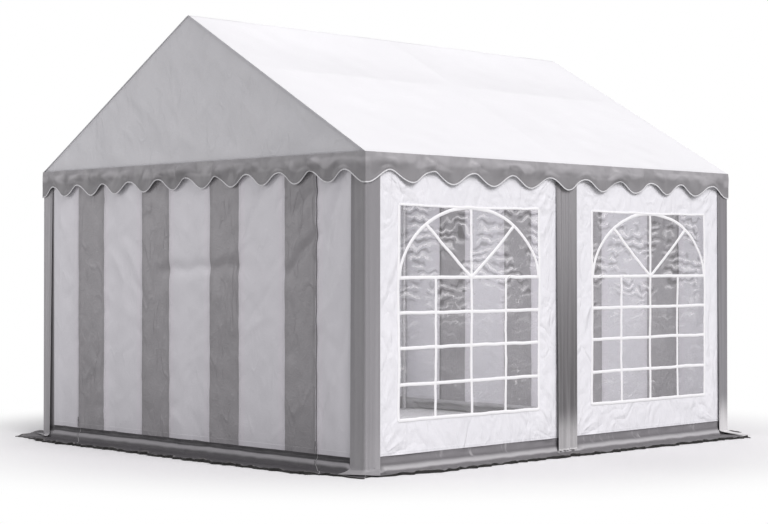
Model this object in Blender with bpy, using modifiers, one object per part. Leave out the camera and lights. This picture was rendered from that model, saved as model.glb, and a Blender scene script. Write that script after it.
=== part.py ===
"""A marquee tent for garden parties: coated fabric over a frame of steel tubes.

Lengths are in metres. +X points to the right-hand side wall, +Y from the front gable to the back
gable and +Z up. The origin is on the ground in the middle of the tent.
"""

import math

import bmesh
import bpy
from mathutils import Matrix, Vector

# Overall size: the outer faces of the walls, the top of the valance and the top of the ridge
HALF_WIDTH = 1.795
HALF_LENGTH = 1.995
EAVE_HEIGHT = 2.062
RIDGE_HEIGHT = 3.110

# Fabric, and the gap between pieces that touch
SHEET = 0.003
FILM = 0.002
GAP = 0.0003

# Frame tubes, and the sockets that join them
TUBE_RADIUS = 0.019
COLLAR_RADIUS = 0.023
BRANCH_RADIUS = 0.022
SOCKET = 0.10
PURLIN_UP_SLOPE = 0.59
CLIP_LENGTH = 0.180
CLIP_WIDTH = 0.030
CLIP_THICKNESS = 0.004
FOOT_SIDE = 0.140
FOOT_THICKNESS = 0.005
FOOT_MARGIN = 0.002

# Walls
WALL_BOTTOM = 0.100
WALL_TOP = 2.055
DOOR_HALF_WIDTH = 1.333

# Windows, one to a bay
WINDOW_WIDTH = 1.400
WINDOW_BOTTOM = 0.325
WINDOW_TOP = 1.700

# Skirt: the line of its underside, as distance out from the wall's inner face and height
SKIRT_FOLD = [(0.0, 0.090), (0.004, 0.076), (0.012, 0.057), (0.019, 0.040), (0.023, 0.020), (0.033, 0.006)]
FLAP_START = 0.048
FLAP_WIDTH = 0.233
FLAP_CORNER_WIDTH = 0.123
FLAP_TAPER = 0.35

# Sleeves over the corners, and covers over the middle posts
SLEEVE_LEG = 0.127
SLEEVE_FOOT = 0.100
COVER_WIDTH = 0.230
COVER_FOOT = 0.062
SLEEVE_TOP = 2.040

# Valance: a scalloped strip that hangs clear of the walls
VALANCE_OUT = 0.009
VALANCE_DROP = 0.121
SCALLOP_DEPTH = 0.080
SCALLOPS_FRONT = 11
SCALLOPS_SIDE = 10
STEPS_PER_SCALLOP = 8

ROUND_SIDES = 32
SIDES = {"left": -1, "right": 1}
ENDS = {"front": -1, "back": 1}

# Places worked out from the sizes above
ROOF_EDGE = HALF_WIDTH + VALANCE_OUT - GAP
SLOPE = math.atan2(RIDGE_HEIGHT - EAVE_HEIGHT, ROOF_EDGE)
AXIS_BEHIND_WALL = SHEET + GAP + COLLAR_RADIUS
AXIS_X = HALF_WIDTH - AXIS_BEHIND_WALL
AXIS_Y = HALF_LENGTH - AXIS_BEHIND_WALL
RIDGE_AXIS = RIDGE_HEIGHT - (SHEET + GAP + COLLAR_RADIUS) / math.cos(SLOPE)
EAVE_AXIS = RIDGE_AXIS - AXIS_X * math.tan(SLOPE)

COLOURS = {
    "white_fabric": ((0.86, 0.86, 0.88), 0.45, 0.0, 1.0),
    "grey_fabric": ((0.24, 0.235, 0.245), 0.45, 0.0, 1.0),
    "striped_fabric": ((0.42, 0.42, 0.44), 0.45, 0.0, 1.0),
    "clear_film": ((0.80, 0.80, 0.82), 0.15, 0.0, 0.35),
    "galvanised_steel": ((0.56, 0.57, 0.58), 0.40, 1.0, 1.0),
}


def clear_scene():
    """Empties the scene."""
    for item in list(bpy.data.objects):
        bpy.data.objects.remove(item, do_unlink=True)


def new_collection(name):
    """A collection in the scene."""
    made = bpy.data.collections.new(name)
    bpy.context.scene.collection.children.link(made)
    return made


def new_material(name):
    """A finish with its colour, roughness, metallic value and alpha."""
    colour, roughness, metallic, alpha = COLOURS[name]
    made = bpy.data.materials.new(name)
    made.use_nodes = True
    shader = made.node_tree.nodes["Principled BSDF"]
    shader.inputs["Base Color"].default_value = (*colour, 1.0)
    shader.inputs["Roughness"].default_value = roughness
    shader.inputs["Metallic"].default_value = metallic
    shader.inputs["Alpha"].default_value = alpha
    made.diffuse_color = (*colour, alpha)
    return made


def place(name, data, finish, spot=(0, 0, 0)):
    """Puts a mesh or a curve in the tent as an object of its own."""
    piece = bpy.data.objects.new(name, data)
    piece.location = spot
    if not data.materials:
        data.materials.append(MATERIALS[finish])
    TENT.objects.link(piece)
    return piece


def mesh_from(name, shape):
    """A mesh from a bmesh, with its faces turned outward."""
    bmesh.ops.recalc_face_normals(shape, faces=shape.faces)
    data = bpy.data.meshes.new(name)
    shape.to_mesh(data)
    shape.free()
    return data


def box(name, low, high, finish):
    """A flat panel or block between two opposite corners."""
    low, high = Vector(low), Vector(high)
    shape = bmesh.new()
    bmesh.ops.create_cube(shape, size=1.0, matrix=Matrix.Diagonal((*(high - low), 1.0)))
    return place(name, mesh_from(name, shape), finish, (low + high) / 2)


def tube(name, start, end):
    """A straight steel tube from one point to another."""
    start, end = Vector(start), Vector(end)
    line = bpy.data.curves.new(name, "CURVE")
    line.dimensions = "3D"
    line.bevel_depth = TUBE_RADIUS
    line.bevel_resolution = 8
    line.use_fill_caps = True
    spline = line.splines.new("POLY")
    spline.points.add(1)
    spline.points[0].co = (0, 0, 0, 1)
    spline.points[1].co = (*(end - start), 1)
    return place(name, line, "galvanised_steel", start)


def rod(name, start, end, radius):
    """A solid round bar that will be fused with others."""
    start, end = Vector(start), Vector(end)
    along = end - start
    shape = bmesh.new()
    bmesh.ops.create_cone(
        shape, cap_ends=True, segments=ROUND_SIDES, radius1=radius, radius2=radius, depth=along.length
    )
    turn = along.to_track_quat("Z", "Y").to_matrix().to_4x4()
    bmesh.ops.transform(shape, matrix=turn, verts=shape.verts)
    data = mesh_from(name, shape)
    for face in data.polygons:
        face.use_smooth = len(face.vertices) == 4
    return place(name, data, "galvanised_steel", (start + end) / 2)


def hide_cutter(item):
    """Keeps a shape that only cuts or joins others out of the tent."""
    TENT.objects.unlink(item)
    CUTTERS.objects.link(item)
    item.hide_render = True
    item.display_type = "WIRE"


def fuse(name, pieces):
    """Makes one welded piece of several that overlap."""
    first, *others = pieces
    first.name = name
    for other in others:
        other.name = f"{name}_{other.name}"
        hide_cutter(other)
        weld = first.modifiers.new("weld", "BOOLEAN")
        weld.operation = "UNION"
        weld.solver = "EXACT"
        weld.object = other
    return first


def outline(name, points, finish, spot):
    """A flat panel cut to an outline of X and Z positions, SHEET thick, facing along Y."""
    line = bpy.data.curves.new(name, "CURVE")
    line.dimensions = "2D"
    line.fill_mode = "BOTH"
    line.extrude = SHEET / 2
    spline = line.splines.new("POLY")
    spline.points.add(len(points) - 1)
    for point, (across, up) in zip(spline.points, points):
        point.co = (across, up, 0, 1)
    spline.use_cyclic_u = True
    piece = place(name, line, finish, spot)
    piece.rotation_euler = (math.radians(90), 0, 0)
    return piece


def thicken(piece, outward=1.0):
    """Gives an open surface the thickness of the fabric, on one side of it."""
    solid = piece.modifiers.new("thickness", "SOLIDIFY")
    solid.thickness = SHEET
    solid.offset = outward
    solid.use_even_offset = True
    solid.use_quality_normals = True


def surface(name, columns, rows, spot_of, finish):
    """A sheet with its corners at spot_of(column, row), facing up and away from the tent's middle."""
    shape = bmesh.new()
    grid = bmesh.ops.create_grid(shape, x_segments=columns - 1, y_segments=rows - 1, size=1.0)
    for point in grid["verts"]:
        column = round((point.co.x + 1) / 2 * (columns - 1))
        row = round((point.co.y + 1) / 2 * (rows - 1))
        point.co = spot_of(column, row)
    shape.normal_update()
    widest = max(shape.faces, key=lambda face: face.calc_area())
    away = widest.calc_center_median()
    away.z = 1
    if widest.normal.dot(away) < 0:
        bmesh.ops.reverse_faces(shape, faces=shape.faces)
    data = bpy.data.meshes.new(name)
    shape.to_mesh(data)
    shape.free()
    return place(name, data, finish)


def parallel(line, distance):
    """The line at a steady distance on the outer side of a line of (out, up) points."""
    normals = []
    for (out_a, up_a), (out_b, up_b) in zip(line, line[1:]):
        length = math.hypot(out_b - out_a, up_b - up_a)
        normals.append(((up_a - up_b) / length, (out_b - out_a) / length))
    moved = []
    for index, (out, up) in enumerate(line):
        before = normals[max(index - 1, 0)]
        after = normals[min(index, len(normals) - 1)]
        mitre = distance / (1 + before[0] * after[0] + before[1] * after[1])
        moved.append((out + mitre * (before[0] + after[0]), up + mitre * (before[1] + after[1])))
    return moved


def rafter_spot(side, along, y):
    """A point on a rafter's axis, at a distance along the slope from the eave rail's axis."""
    return Vector((side * (AXIS_X - along * math.cos(SLOPE)), y, EAVE_AXIS + along * math.sin(SLOPE)))


def build_posts():
    """Six posts, each a tube welded to a square foot plate that points into the tent."""
    top = EAVE_AXIS - SOCKET - GAP
    rows = {"front": -AXIS_Y, "middle": 0.0, "back": AXIS_Y}
    reach = TUBE_RADIUS + FOOT_MARGIN
    for side_name, side in SIDES.items():
        for row_name, y in rows.items():
            name = f"post_{row_name}_{side_name}"
            x = side * AXIS_X
            outer_x = x + side * reach
            outer_y = y + math.copysign(reach, y) if y else FOOT_SIDE / 2
            inner_y = outer_y - math.copysign(FOOT_SIDE, outer_y)
            corners_x = sorted((outer_x, outer_x - side * FOOT_SIDE))
            corners_y = sorted((outer_y, inner_y))
            low = (corners_x[0], corners_y[0], 0)
            high = (corners_x[1], corners_y[1], FOOT_THICKNESS)
            plate = box("plate", low, high, "galvanised_steel")
            stem = rod("stem", (x, y, FOOT_THICKNESS / 2), (x, y, top), TUBE_RADIUS)
            fuse(name, [stem, plate])


def build_eave_rails():
    """A rail along the top of each side wall, with the sockets for posts, rafters and ties."""
    for side_name, side in SIDES.items():
        x = side * AXIS_X
        pieces = [rod("rail", (x, -AXIS_Y, EAVE_AXIS), (x, AXIS_Y, EAVE_AXIS), TUBE_RADIUS)]
        for row, y in enumerate((-AXIS_Y, 0.0, AXIS_Y)):
            axis = Vector((x, y, EAVE_AXIS))
            if y:
                end = math.copysign(1, y)
                collar_start = axis + Vector((0, end * COLLAR_RADIUS, 0))
                collar_end = axis - Vector((0, end * SOCKET, 0))
                tie_socket = axis - Vector((side * SOCKET, 0, 0))
                pieces.append(rod(f"tie_socket_{row}", axis, tie_socket, BRANCH_RADIUS))
            else:
                collar_start = axis - Vector((0, SOCKET, 0))
                collar_end = axis + Vector((0, SOCKET, 0))
            pieces.append(rod(f"collar_{row}", collar_start, collar_end, COLLAR_RADIUS))
            pieces.append(rod(f"post_socket_{row}", axis, axis - Vector((0, 0, SOCKET)), BRANCH_RADIUS))
            pieces.append(rod(f"rafter_socket_{row}", axis, rafter_spot(side, SOCKET, y), BRANCH_RADIUS))
        fuse(f"eave_rail_{side_name}", pieces)


def build_rafters():
    """Three pairs of rafters, each pair joined by the connector at the ridge."""
    slope_length = AXIS_X / math.cos(SLOPE)
    for row_name, y in {"front": -AXIS_Y, "middle": 0.0, "back": AXIS_Y}.items():
        top = Vector((0, y, RIDGE_AXIS))
        pieces = []
        for side_name, side in SIDES.items():
            low = rafter_spot(side, SOCKET + GAP, y)
            collar = rafter_spot(side, slope_length - SOCKET, y)
            pieces.append(rod(f"{side_name}_tube", low, top, TUBE_RADIUS))
            pieces.append(rod(f"{side_name}_collar", collar, top, COLLAR_RADIUS))
        front_reach = COLLAR_RADIUS if y < 0 else SOCKET
        back_reach = COLLAR_RADIUS if y > 0 else SOCKET
        front_end = top - Vector((0, front_reach, 0))
        back_end = top + Vector((0, back_reach, 0))
        pieces.append(rod("ridge_socket", front_end, back_end, COLLAR_RADIUS))
        fuse(f"rafters_{row_name}", pieces)


def build_ridge_rails():
    """One ridge tube to a bay, between the ridge connectors."""
    near_middle = SOCKET + GAP
    near_end = AXIS_Y - SOCKET - GAP
    tube("ridge_rail_front", (0, -near_end, RIDGE_AXIS), (0, -near_middle, RIDGE_AXIS))
    tube("ridge_rail_back", (0, near_middle, RIDGE_AXIS), (0, near_end, RIDGE_AXIS))


def build_gable_ties():
    """A level tube across each gable, which the striped wall hangs from."""
    reach = AXIS_X - SOCKET - GAP
    for end_name, end in ENDS.items():
        y = end * AXIS_Y
        tube(f"gable_tie_{end_name}", (-reach, y, EAVE_AXIS), (reach, y, EAVE_AXIS))


def build_purlins():
    """A purlin halfway up each slope: two tubes joined by a clip that hooks under the middle rafter."""
    along = PURLIN_UP_SLOPE * AXIS_X / math.cos(SLOPE)
    end_y = AXIS_Y - TUBE_RADIUS - GAP
    start_y = TUBE_RADIUS + GAP
    clip_drop = TUBE_RADIUS + GAP + CLIP_THICKNESS / 2
    for side_name, side in SIDES.items():
        spot = rafter_spot(side, along, 0.0)
        pieces = []
        for end_name, end in ENDS.items():
            near = spot + Vector((0, end * start_y, 0))
            collar = spot + Vector((0, end * SOCKET, 0))
            far = spot + Vector((0, end * end_y, 0))
            pieces.append(rod(f"{end_name}_tube", near, far, TUBE_RADIUS))
            pieces.append(rod(f"{end_name}_collar", near, collar, COLLAR_RADIUS))
        down = Vector((-side * math.sin(SLOPE), 0, -math.cos(SLOPE)))
        half_clip = Vector((CLIP_WIDTH, CLIP_LENGTH, CLIP_THICKNESS)) / 2
        clip = box("clip", -half_clip, half_clip, "galvanised_steel")
        clip.location = spot + clip_drop * down
        clip.rotation_euler = (0, side * SLOPE, 0)
        pieces.append(clip)
        fuse(f"purlin_{side_name}", pieces)


def build_roof_cover():
    """The white cover: one sheet from eave to eave over the ridge."""
    edge_y = HALF_LENGTH + VALANCE_OUT - GAP
    stations = [-1, 0, 1]

    def spot(column, row):
        across = stations[column]
        height = RIDGE_HEIGHT if across == 0 else EAVE_HEIGHT
        return Vector((across * ROOF_EDGE, (2 * row - 1) * edge_y, height))

    cover = surface("roof_cover", 3, 2, spot, "white_fabric")
    thicken(cover, outward=-1.0)


def build_gable_panels():
    """The white triangle that closes each gable above the eaves."""
    under_roof = RIDGE_HEIGHT - (SHEET + GAP) / math.cos(SLOPE)
    edge_height = under_roof - HALF_WIDTH * math.tan(SLOPE)
    bottom = WALL_TOP + GAP
    points = [(-HALF_WIDTH, bottom), (HALF_WIDTH, bottom), (HALF_WIDTH, edge_height)]
    points += [(0, under_roof), (-HALF_WIDTH, edge_height)]
    for end_name, end in ENDS.items():
        y = end * (HALF_LENGTH - SHEET / 2)
        outline(f"gable_panel_{end_name}", points, "white_fabric", (0, y, 0))


def build_gable_walls():
    """The striped wall of each gable: a door panel between two zips, and a fixed strip on each side."""
    for end_name, end in ENDS.items():
        faces = sorted((end * HALF_LENGTH, end * (HALF_LENGTH - SHEET)))
        strips = {
            f"{end_name}_wall_left": (-HALF_WIDTH, -DOOR_HALF_WIDTH - GAP),
            f"{end_name}_door_panel": (-DOOR_HALF_WIDTH, DOOR_HALF_WIDTH),
            f"{end_name}_wall_right": (DOOR_HALF_WIDTH + GAP, HALF_WIDTH),
        }
        for name, (left, right) in strips.items():
            box(name, (left, faces[0], WALL_BOTTOM), (right, faces[1], WALL_TOP), "striped_fabric")


def build_side_walls():
    """A white panel to each bay of each side, with a window hole and its sheet of clear film."""
    bay_middle = HALF_LENGTH / 2
    for side_name, side in SIDES.items():
        faces = sorted((side * HALF_WIDTH, side * (HALF_WIDTH - SHEET)))
        film_middle = side * (HALF_WIDTH - SHEET / 2)
        for end_name, end in ENDS.items():
            span = sorted((end * GAP / 2, end * (HALF_LENGTH - SHEET - GAP)))
            name = f"{side_name}_wall_{end_name}"
            low = (faces[0], span[0], WALL_BOTTOM)
            high = (faces[1], span[1], WALL_TOP)
            wall = box(name, low, high, "white_fabric")
            left = end * bay_middle - WINDOW_WIDTH / 2
            right = end * bay_middle + WINDOW_WIDTH / 2
            cut_low = (film_middle - SHEET, left, WINDOW_BOTTOM)
            cut_high = (film_middle + SHEET, right, WINDOW_TOP)
            cutter = box(f"{name}_hole", cut_low, cut_high, "white_fabric")
            hide_cutter(cutter)
            hole = wall.modifiers.new("window", "BOOLEAN")
            hole.operation = "DIFFERENCE"
            hole.solver = "EXACT"
            hole.object = cutter
            film_low = (film_middle - FILM / 2, left + GAP, WINDOW_BOTTOM + GAP)
            film_high = (film_middle + FILM / 2, right - GAP, WINDOW_TOP - GAP)
            box(f"{side_name}_window_{end_name}", film_low, film_high, "clear_film")


def skirt_line(foot, top):
    """The underside of the skirt as (out, up) points, from the wall's inner face to the flap's edge."""
    return [(0.0, top), *SKIRT_FOLD, (FLAP_START, 0.0), (foot, 0.0)]


def build_skirts():
    """The grey skirt of each wall: it hangs from the wall's foot, folds outward and lies on the ground."""
    line = skirt_line(FLAP_WIDTH, WALL_BOTTOM - GAP)
    inner_width = HALF_WIDTH - SHEET
    inner_length = HALF_LENGTH - SHEET
    walls = {
        "skirt_front": (inner_width, inner_length, -90),
        "skirt_back": (inner_width, inner_length, 90),
        "skirt_left": (inner_length, inner_width, 180),
        "skirt_right": (inner_length, inner_width, 0),
    }
    for name, (half_run, out_start, turn) in walls.items():
        stations = [-half_run, FLAP_TAPER - half_run, half_run - FLAP_TAPER, half_run]
        rotation = Matrix.Rotation(math.radians(turn), 3, "Z")

        def spot(column, row):
            out, up = line[row]
            run = stations[column]
            if column in (0, 3):
                if row == len(line) - 1:
                    out = FLAP_CORNER_WIDTH
                run *= 1 + (out - GAP) / half_run
            return rotation @ Vector((out_start + out, run, up))

        thicken(surface(name, 4, len(line), spot, "grey_fabric"))


def build_corner_sleeves():
    """A grey sleeve over each corner post: two legs that flare over the skirts at the ground."""
    line = parallel(skirt_line(SLEEVE_FOOT, SLEEVE_TOP), SHEET + GAP)
    legs = (SLEEVE_LEG, 0.0, SLEEVE_LEG)
    for end_name, end in ENDS.items():
        for side_name, side in SIDES.items():

            def spot(column, row):
                out, up = line[row]
                x = HALF_WIDTH - SHEET + out if column else HALF_WIDTH - legs[0]
                y = HALF_LENGTH - SHEET + out if column < 2 else HALF_LENGTH - legs[2]
                return Vector((side * x, end * y, up))

            name = f"corner_sleeve_{end_name}_{side_name}"
            thicken(surface(name, 3, len(line), spot, "grey_fabric"))


def build_post_covers():
    """A grey strip over each middle post and the joint of the two side walls."""
    line = parallel(skirt_line(COVER_FOOT, SLEEVE_TOP), SHEET + GAP)
    for side_name, side in SIDES.items():

        def spot(column, row):
            out, up = line[row]
            return Vector((side * (HALF_WIDTH - SHEET + out), (column - 0.5) * COVER_WIDTH, up))

        thicken(surface(f"post_cover_{side_name}", 2, len(line), spot, "grey_fabric"))


def build_valance():
    """The scalloped strip round the eaves and across the gables, with a lobe on every corner."""
    half_x = HALF_WIDTH + VALANCE_OUT
    half_y = HALF_LENGTH + VALANCE_OUT
    front_steps = SCALLOPS_FRONT * STEPS_PER_SCALLOP
    side_steps = SCALLOPS_SIDE * STEPS_PER_SCALLOP
    corners = [(-half_x, -half_y), (half_x, -half_y), (half_x, half_y), (-half_x, half_y)]
    spots = []
    for index, steps in enumerate((front_steps, side_steps, front_steps, side_steps)):
        start, end = Vector(corners[index]), Vector(corners[(index + 1) % 4])
        for step in range(steps):
            wave = 0.5 + 0.5 * math.cos(2 * math.pi * step / STEPS_PER_SCALLOP)
            drop = VALANCE_DROP + SCALLOP_DEPTH * wave
            spots.append((start.lerp(end, step / steps), drop))

    shape = bmesh.new()
    top = bmesh.ops.create_circle(shape, segments=len(spots), radius=1.0)["verts"]
    strip = bmesh.ops.extrude_edge_only(shape, edges=shape.edges[:])
    low = [item for item in strip["geom"] if isinstance(item, bmesh.types.BMVert)]
    partner = {}
    for point in low:
        above = next(edge.other_vert(point) for edge in point.link_edges if edge.other_vert(point) in top)
        partner[above] = point
    for point, (spot, drop) in zip(top, spots):
        point.co = (*spot, EAVE_HEIGHT)
        partner[point].co = (*spot, EAVE_HEIGHT - drop)
    bmesh.ops.recalc_face_normals(shape, faces=shape.faces)
    shape.normal_update()
    shape.faces.ensure_lookup_table()
    middle = shape.faces[0].calc_center_median()
    middle.z = 0
    if shape.faces[0].normal.dot(middle) < 0:
        bmesh.ops.reverse_faces(shape, faces=shape.faces)
    data = bpy.data.meshes.new("valance")
    shape.to_mesh(data)
    shape.free()
    thicken(place("valance", data, "grey_fabric"))


clear_scene()
TENT = new_collection("marquee_tent")
CUTTERS = new_collection("marquee_tent_cutters")
MATERIALS = {name: new_material(name) for name in COLOURS}

build_posts()
build_eave_rails()
build_rafters()
build_ridge_rails()
build_gable_ties()
build_purlins()
build_roof_cover()
build_gable_panels()
build_gable_walls()
build_side_walls()
build_skirts()
build_corner_sleeves()
build_post_covers()
build_valance()
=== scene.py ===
# %% [markdown]
# # A party marquee, dressed in cloth
#
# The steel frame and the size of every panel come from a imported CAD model. This lesson hangs the real cloth
# on it: a stretched roof, striped gable walls, white side walls with clear windows, a scalloped valance,
# and the grey skirts and sleeves that keep the wind out. Each sheet is a numpy surface with its own folds.

import itertools
import math

import bpy
import numpy as np
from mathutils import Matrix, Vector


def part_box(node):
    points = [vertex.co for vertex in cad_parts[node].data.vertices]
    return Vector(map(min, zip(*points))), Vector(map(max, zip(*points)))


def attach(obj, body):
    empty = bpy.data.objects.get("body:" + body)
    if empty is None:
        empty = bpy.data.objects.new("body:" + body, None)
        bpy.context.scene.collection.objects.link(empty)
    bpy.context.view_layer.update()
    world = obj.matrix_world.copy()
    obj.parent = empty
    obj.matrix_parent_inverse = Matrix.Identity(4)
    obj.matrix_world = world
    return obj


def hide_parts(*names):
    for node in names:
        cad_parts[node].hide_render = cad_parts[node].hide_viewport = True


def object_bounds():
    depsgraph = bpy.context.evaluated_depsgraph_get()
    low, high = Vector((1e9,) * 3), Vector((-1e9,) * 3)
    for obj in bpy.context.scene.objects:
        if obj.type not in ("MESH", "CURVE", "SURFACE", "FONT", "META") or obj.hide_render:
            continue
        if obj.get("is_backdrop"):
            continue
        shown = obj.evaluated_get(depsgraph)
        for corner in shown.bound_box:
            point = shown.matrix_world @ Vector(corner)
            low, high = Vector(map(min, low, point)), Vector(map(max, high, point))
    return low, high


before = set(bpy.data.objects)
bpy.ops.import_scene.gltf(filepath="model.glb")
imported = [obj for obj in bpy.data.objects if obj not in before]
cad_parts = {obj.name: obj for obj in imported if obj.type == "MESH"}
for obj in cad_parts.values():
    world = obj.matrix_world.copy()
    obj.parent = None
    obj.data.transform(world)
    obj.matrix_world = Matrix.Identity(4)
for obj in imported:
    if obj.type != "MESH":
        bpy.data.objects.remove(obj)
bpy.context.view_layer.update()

# %% [markdown]
# ## Where the cloth hangs
#
# The faces of the CAD panels say where the cloth is, so the sizes are read from them and not typed again.
# +X points to the side wall on the right, -Y to the front gable and +Z up.

# %% Sizes from the frame
wall_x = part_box("right_wall_front")[1].x
wall_y = -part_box("front_door_panel")[0].y
wall_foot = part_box("front_door_panel")[0].z
wall_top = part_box("front_door_panel")[1].z
zip_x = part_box("front_door_panel")[1].x
eave_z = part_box("valance")[1].z
ridge_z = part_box("roof_cover")[1].z
roof_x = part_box("roof_cover")[1].x
roof_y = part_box("roof_cover")[1].y
slope = math.atan2(ridge_z - eave_z, roof_x)
print(f"walls {2 * wall_x:.2f} x {2 * wall_y:.2f} m, eaves {eave_z:.2f} m, ridge {ridge_z:.2f} m")

# %% [markdown]
# ## The camera
#
# A camera comes first, because every later choice of detail depends on how large a piece is in the picture.
# The tent is seen from about chest height, a little to the right of the near corner, with a long lens, so
# the upright edges stay parallel. A pitch of almost nothing does that without any lens shift.

# %% Camera
camera_data = bpy.data.cameras.new("camera")
camera_data.sensor_fit = "HORIZONTAL"
camera_data.sensor_width = 36.0
camera_data.lens = 83.186
camera_data.clip_end = 500.0
camera = bpy.data.objects.new("camera", camera_data)
camera.location = (9.8996, -9.8572, 1.3292)
camera.rotation_euler = (math.radians(90.1334), 0.0, math.radians(45.2734))
bpy.context.scene.collection.objects.link(camera)
bpy.context.scene.camera = camera

# %% [markdown]
# ## Numbers that look like cloth
#
# Cloth is never flat. Three kinds of unevenness cover most of it: slow ripples, which are a sum of sine
# waves; creases, which are short soft ridges left by folding and handling; and drag lines, which fan out
# from a corner where the cloth is pulled. All three are functions on whole arrays, so a sheet of thousands
# of points costs a few lines.


# %% Ripples, creases and drag lines
def smooth(low, high, x):
    """0 below low, 1 above high, and the S-curve 3 t^2 - 2 t^3 between them."""
    t = np.clip((x - low) / (high - low), 0.0, 1.0)
    return t * t * (3.0 - 2.0 * t)


def steps(low, high, size):
    """Evenly spaced numbers from low to high, about size apart."""
    return np.linspace(low, high, max(2, round((high - low) / size) + 1))


def ripples(u, v, seed, short, long, heading=0.0, spread=math.pi, count=24):
    """A sum of sine waves, about 1 high, with lengths from short to long and headings near one heading."""
    dice = np.random.default_rng(seed)
    lengths = np.exp(dice.uniform(math.log(short), math.log(long), count))
    turns = heading + dice.uniform(-spread, spread, count)
    phases = dice.uniform(0.0, 2.0 * math.pi, count)
    total = np.zeros(np.broadcast(u, v).shape)
    for length, turn, phase in zip(lengths, turns, phases):
        total += np.sin(2.0 * math.pi * (u * math.cos(turn) + v * math.sin(turn)) / length + phase)
    return total * math.sqrt(2.0 / count)


def creases(u, v, seed, count, low, high, length, width, heading=0.0, spread=math.pi):
    """Short folds strewn between two corners. Each falls off as exp(-x^2) across it and along it."""
    dice = np.random.default_rng(seed)
    spots = dice.uniform(low, high, (count, 2))
    turns = heading + dice.uniform(-spread, spread, count)
    sizes = dice.uniform(0.5, 1.5, count)
    heights = dice.uniform(-1.0, 1.0, count)
    total = np.zeros(np.broadcast(u, v).shape)
    for (near_u, near_v), turn, size, height in zip(spots, turns, sizes, heights):
        along = (u - near_u) * math.cos(turn) + (v - near_v) * math.sin(turn)
        across = (v - near_v) * math.cos(turn) - (u - near_u) * math.sin(turn)
        bend = across + 0.15 * along * along / length
        total += height * np.exp(-((bend / (width * size)) ** 2) - (along / (length * size)) ** 2)
    return total


def drag_lines(u, v, corner_u, corner_v, seed, reach, folds):
    """Folds that fan out of a pulled corner: a sine of the angle round it, which fades with distance."""
    dice = np.random.default_rng(seed)
    away_u, away_v = u - corner_u, v - corner_v
    distance = np.hypot(away_u, away_v)
    angle = np.arctan2(away_v, away_u)
    wander = 0.25 * np.sin(3.1 * distance / reach + dice.uniform(0.0, 6.0))
    fade = smooth(0.0, 0.25 * reach, distance) * np.exp(-((distance / reach) ** 2))
    return fade * np.sin(folds * angle + wander * folds / 4.0 + dice.uniform(0.0, 6.0))


# %% [markdown]
# ## From a grid of points to a sheet
#
# A sheet of cloth is a grid of points. To be a solid it needs a back as well: the same grid moved inwards
# along its normals, with a rim of narrow faces round every open edge, window holes included. A
# Solidify modifier can do that. Here numpy does it, so the shading of the rim can be kept crisp and the
# finished mesh holds no modifier. A second coordinate, the flat cut of the cloth in metres, goes along as a
# UV map named cloth, so that weave and stitches follow the fabric. Two attributes go along as well: hem, the
# distance from the edge, and lining, which is 1 on the side that faces into the tent.


# %% Sheet builder
CLOTH_THICKNESS = 0.002
SHARP_TURN = math.radians(50)


def shell_quads(number, keep, wraps, back):
    """Corner numbers of a shell's faces: a front, a back that is turned round, and the rim between them."""
    a, b, c, d = number[:-1, :-1], number[:-1, 1:], number[1:, 1:], number[1:, :-1]
    front = np.stack([a, b, c, d], axis=-1)[keep]
    around = np.pad(keep, ((1, 1), (0, 0)))
    sideways = np.pad(keep, ((0, 0), (1, 1)), mode="wrap" if wraps else "constant")
    edges = [
        (a, b, keep & ~around[:-2]),
        (b, c, keep & ~sideways[:, 2:]),
        (c, d, keep & ~around[2:]),
        (d, a, keep & ~sideways[:, :-2]),
    ]
    rim = [np.stack([q, p, p + back, q + back], axis=-1)[is_open] for p, q, is_open in edges]
    return np.concatenate([front, front[:, ::-1] + back, *rim])


def grid_normals(spots, wraps):
    """Unit normals of a grid: the cross product of the steps along its columns and its rows."""
    if wraps:
        along = np.roll(spots, -1, axis=1) - np.roll(spots, 1, axis=1)
    else:
        along = np.gradient(spots, axis=1)
    normals = np.cross(along, np.gradient(spots, axis=0))
    return normals / np.linalg.norm(normals, axis=-1, keepdims=True)


def cloth_mesh(name, spots, flat, thickness=CLOTH_THICKNESS, keep=None, wraps=False, hem=None):
    """A closed sheet whose front is the grid spots (rows, columns, 3), with its flat cut as a UV map."""
    rows, columns = flat.shape[0] - 1, flat.shape[1] - 1
    keep = np.ones((rows, columns), bool) if keep is None else keep
    count = spots.shape[0] * spots.shape[1]
    number = np.arange(count).reshape(spots.shape[:2])
    number = np.hstack([number, number[:, :1]]) if wraps else number
    flat_count = (rows + 1) * (columns + 1)
    flat_number = np.arange(flat_count).reshape(rows + 1, columns + 1)
    faces = shell_quads(number, keep, wraps, count)
    corners = shell_quads(flat_number, keep, wraps, flat_count)
    normals = grid_normals(spots, wraps)
    away = spots * (1.0, 1.0, 0.0) + (0.0, 0.0, 1.0)
    if (normals * away).sum() < 0.0:
        normals, faces, corners = -normals, faces[:, ::-1], corners[:, ::-1]
    points = np.concatenate([spots.reshape(-1, 3), (spots - thickness * normals).reshape(-1, 3)])
    used, faces = np.unique(faces, return_inverse=True)
    faces = faces.reshape(-1, 4)
    mesh = bpy.data.meshes.new(name)
    mesh.from_pydata(points[used].tolist(), [], faces.tolist())
    layer = mesh.uv_layers.new(name="cloth")
    both = np.concatenate([flat.reshape(-1, 2)] * 2)
    layer.data.foreach_set("uv", both[corners].astype(np.float32).ravel())
    if hem is not None:
        marks = mesh.attributes.new("hem", "FLOAT", "POINT")
        marks.data.foreach_set("value", np.concatenate([hem.ravel()] * 2)[used].astype(np.float32))
    lining = mesh.attributes.new("lining", "FLOAT", "POINT")
    lining.data.foreach_set("value", (used >= count).astype(np.float32))
    mesh.shade_smooth()
    mesh.set_sharp_from_angle(angle=SHARP_TURN)
    return mesh


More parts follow.
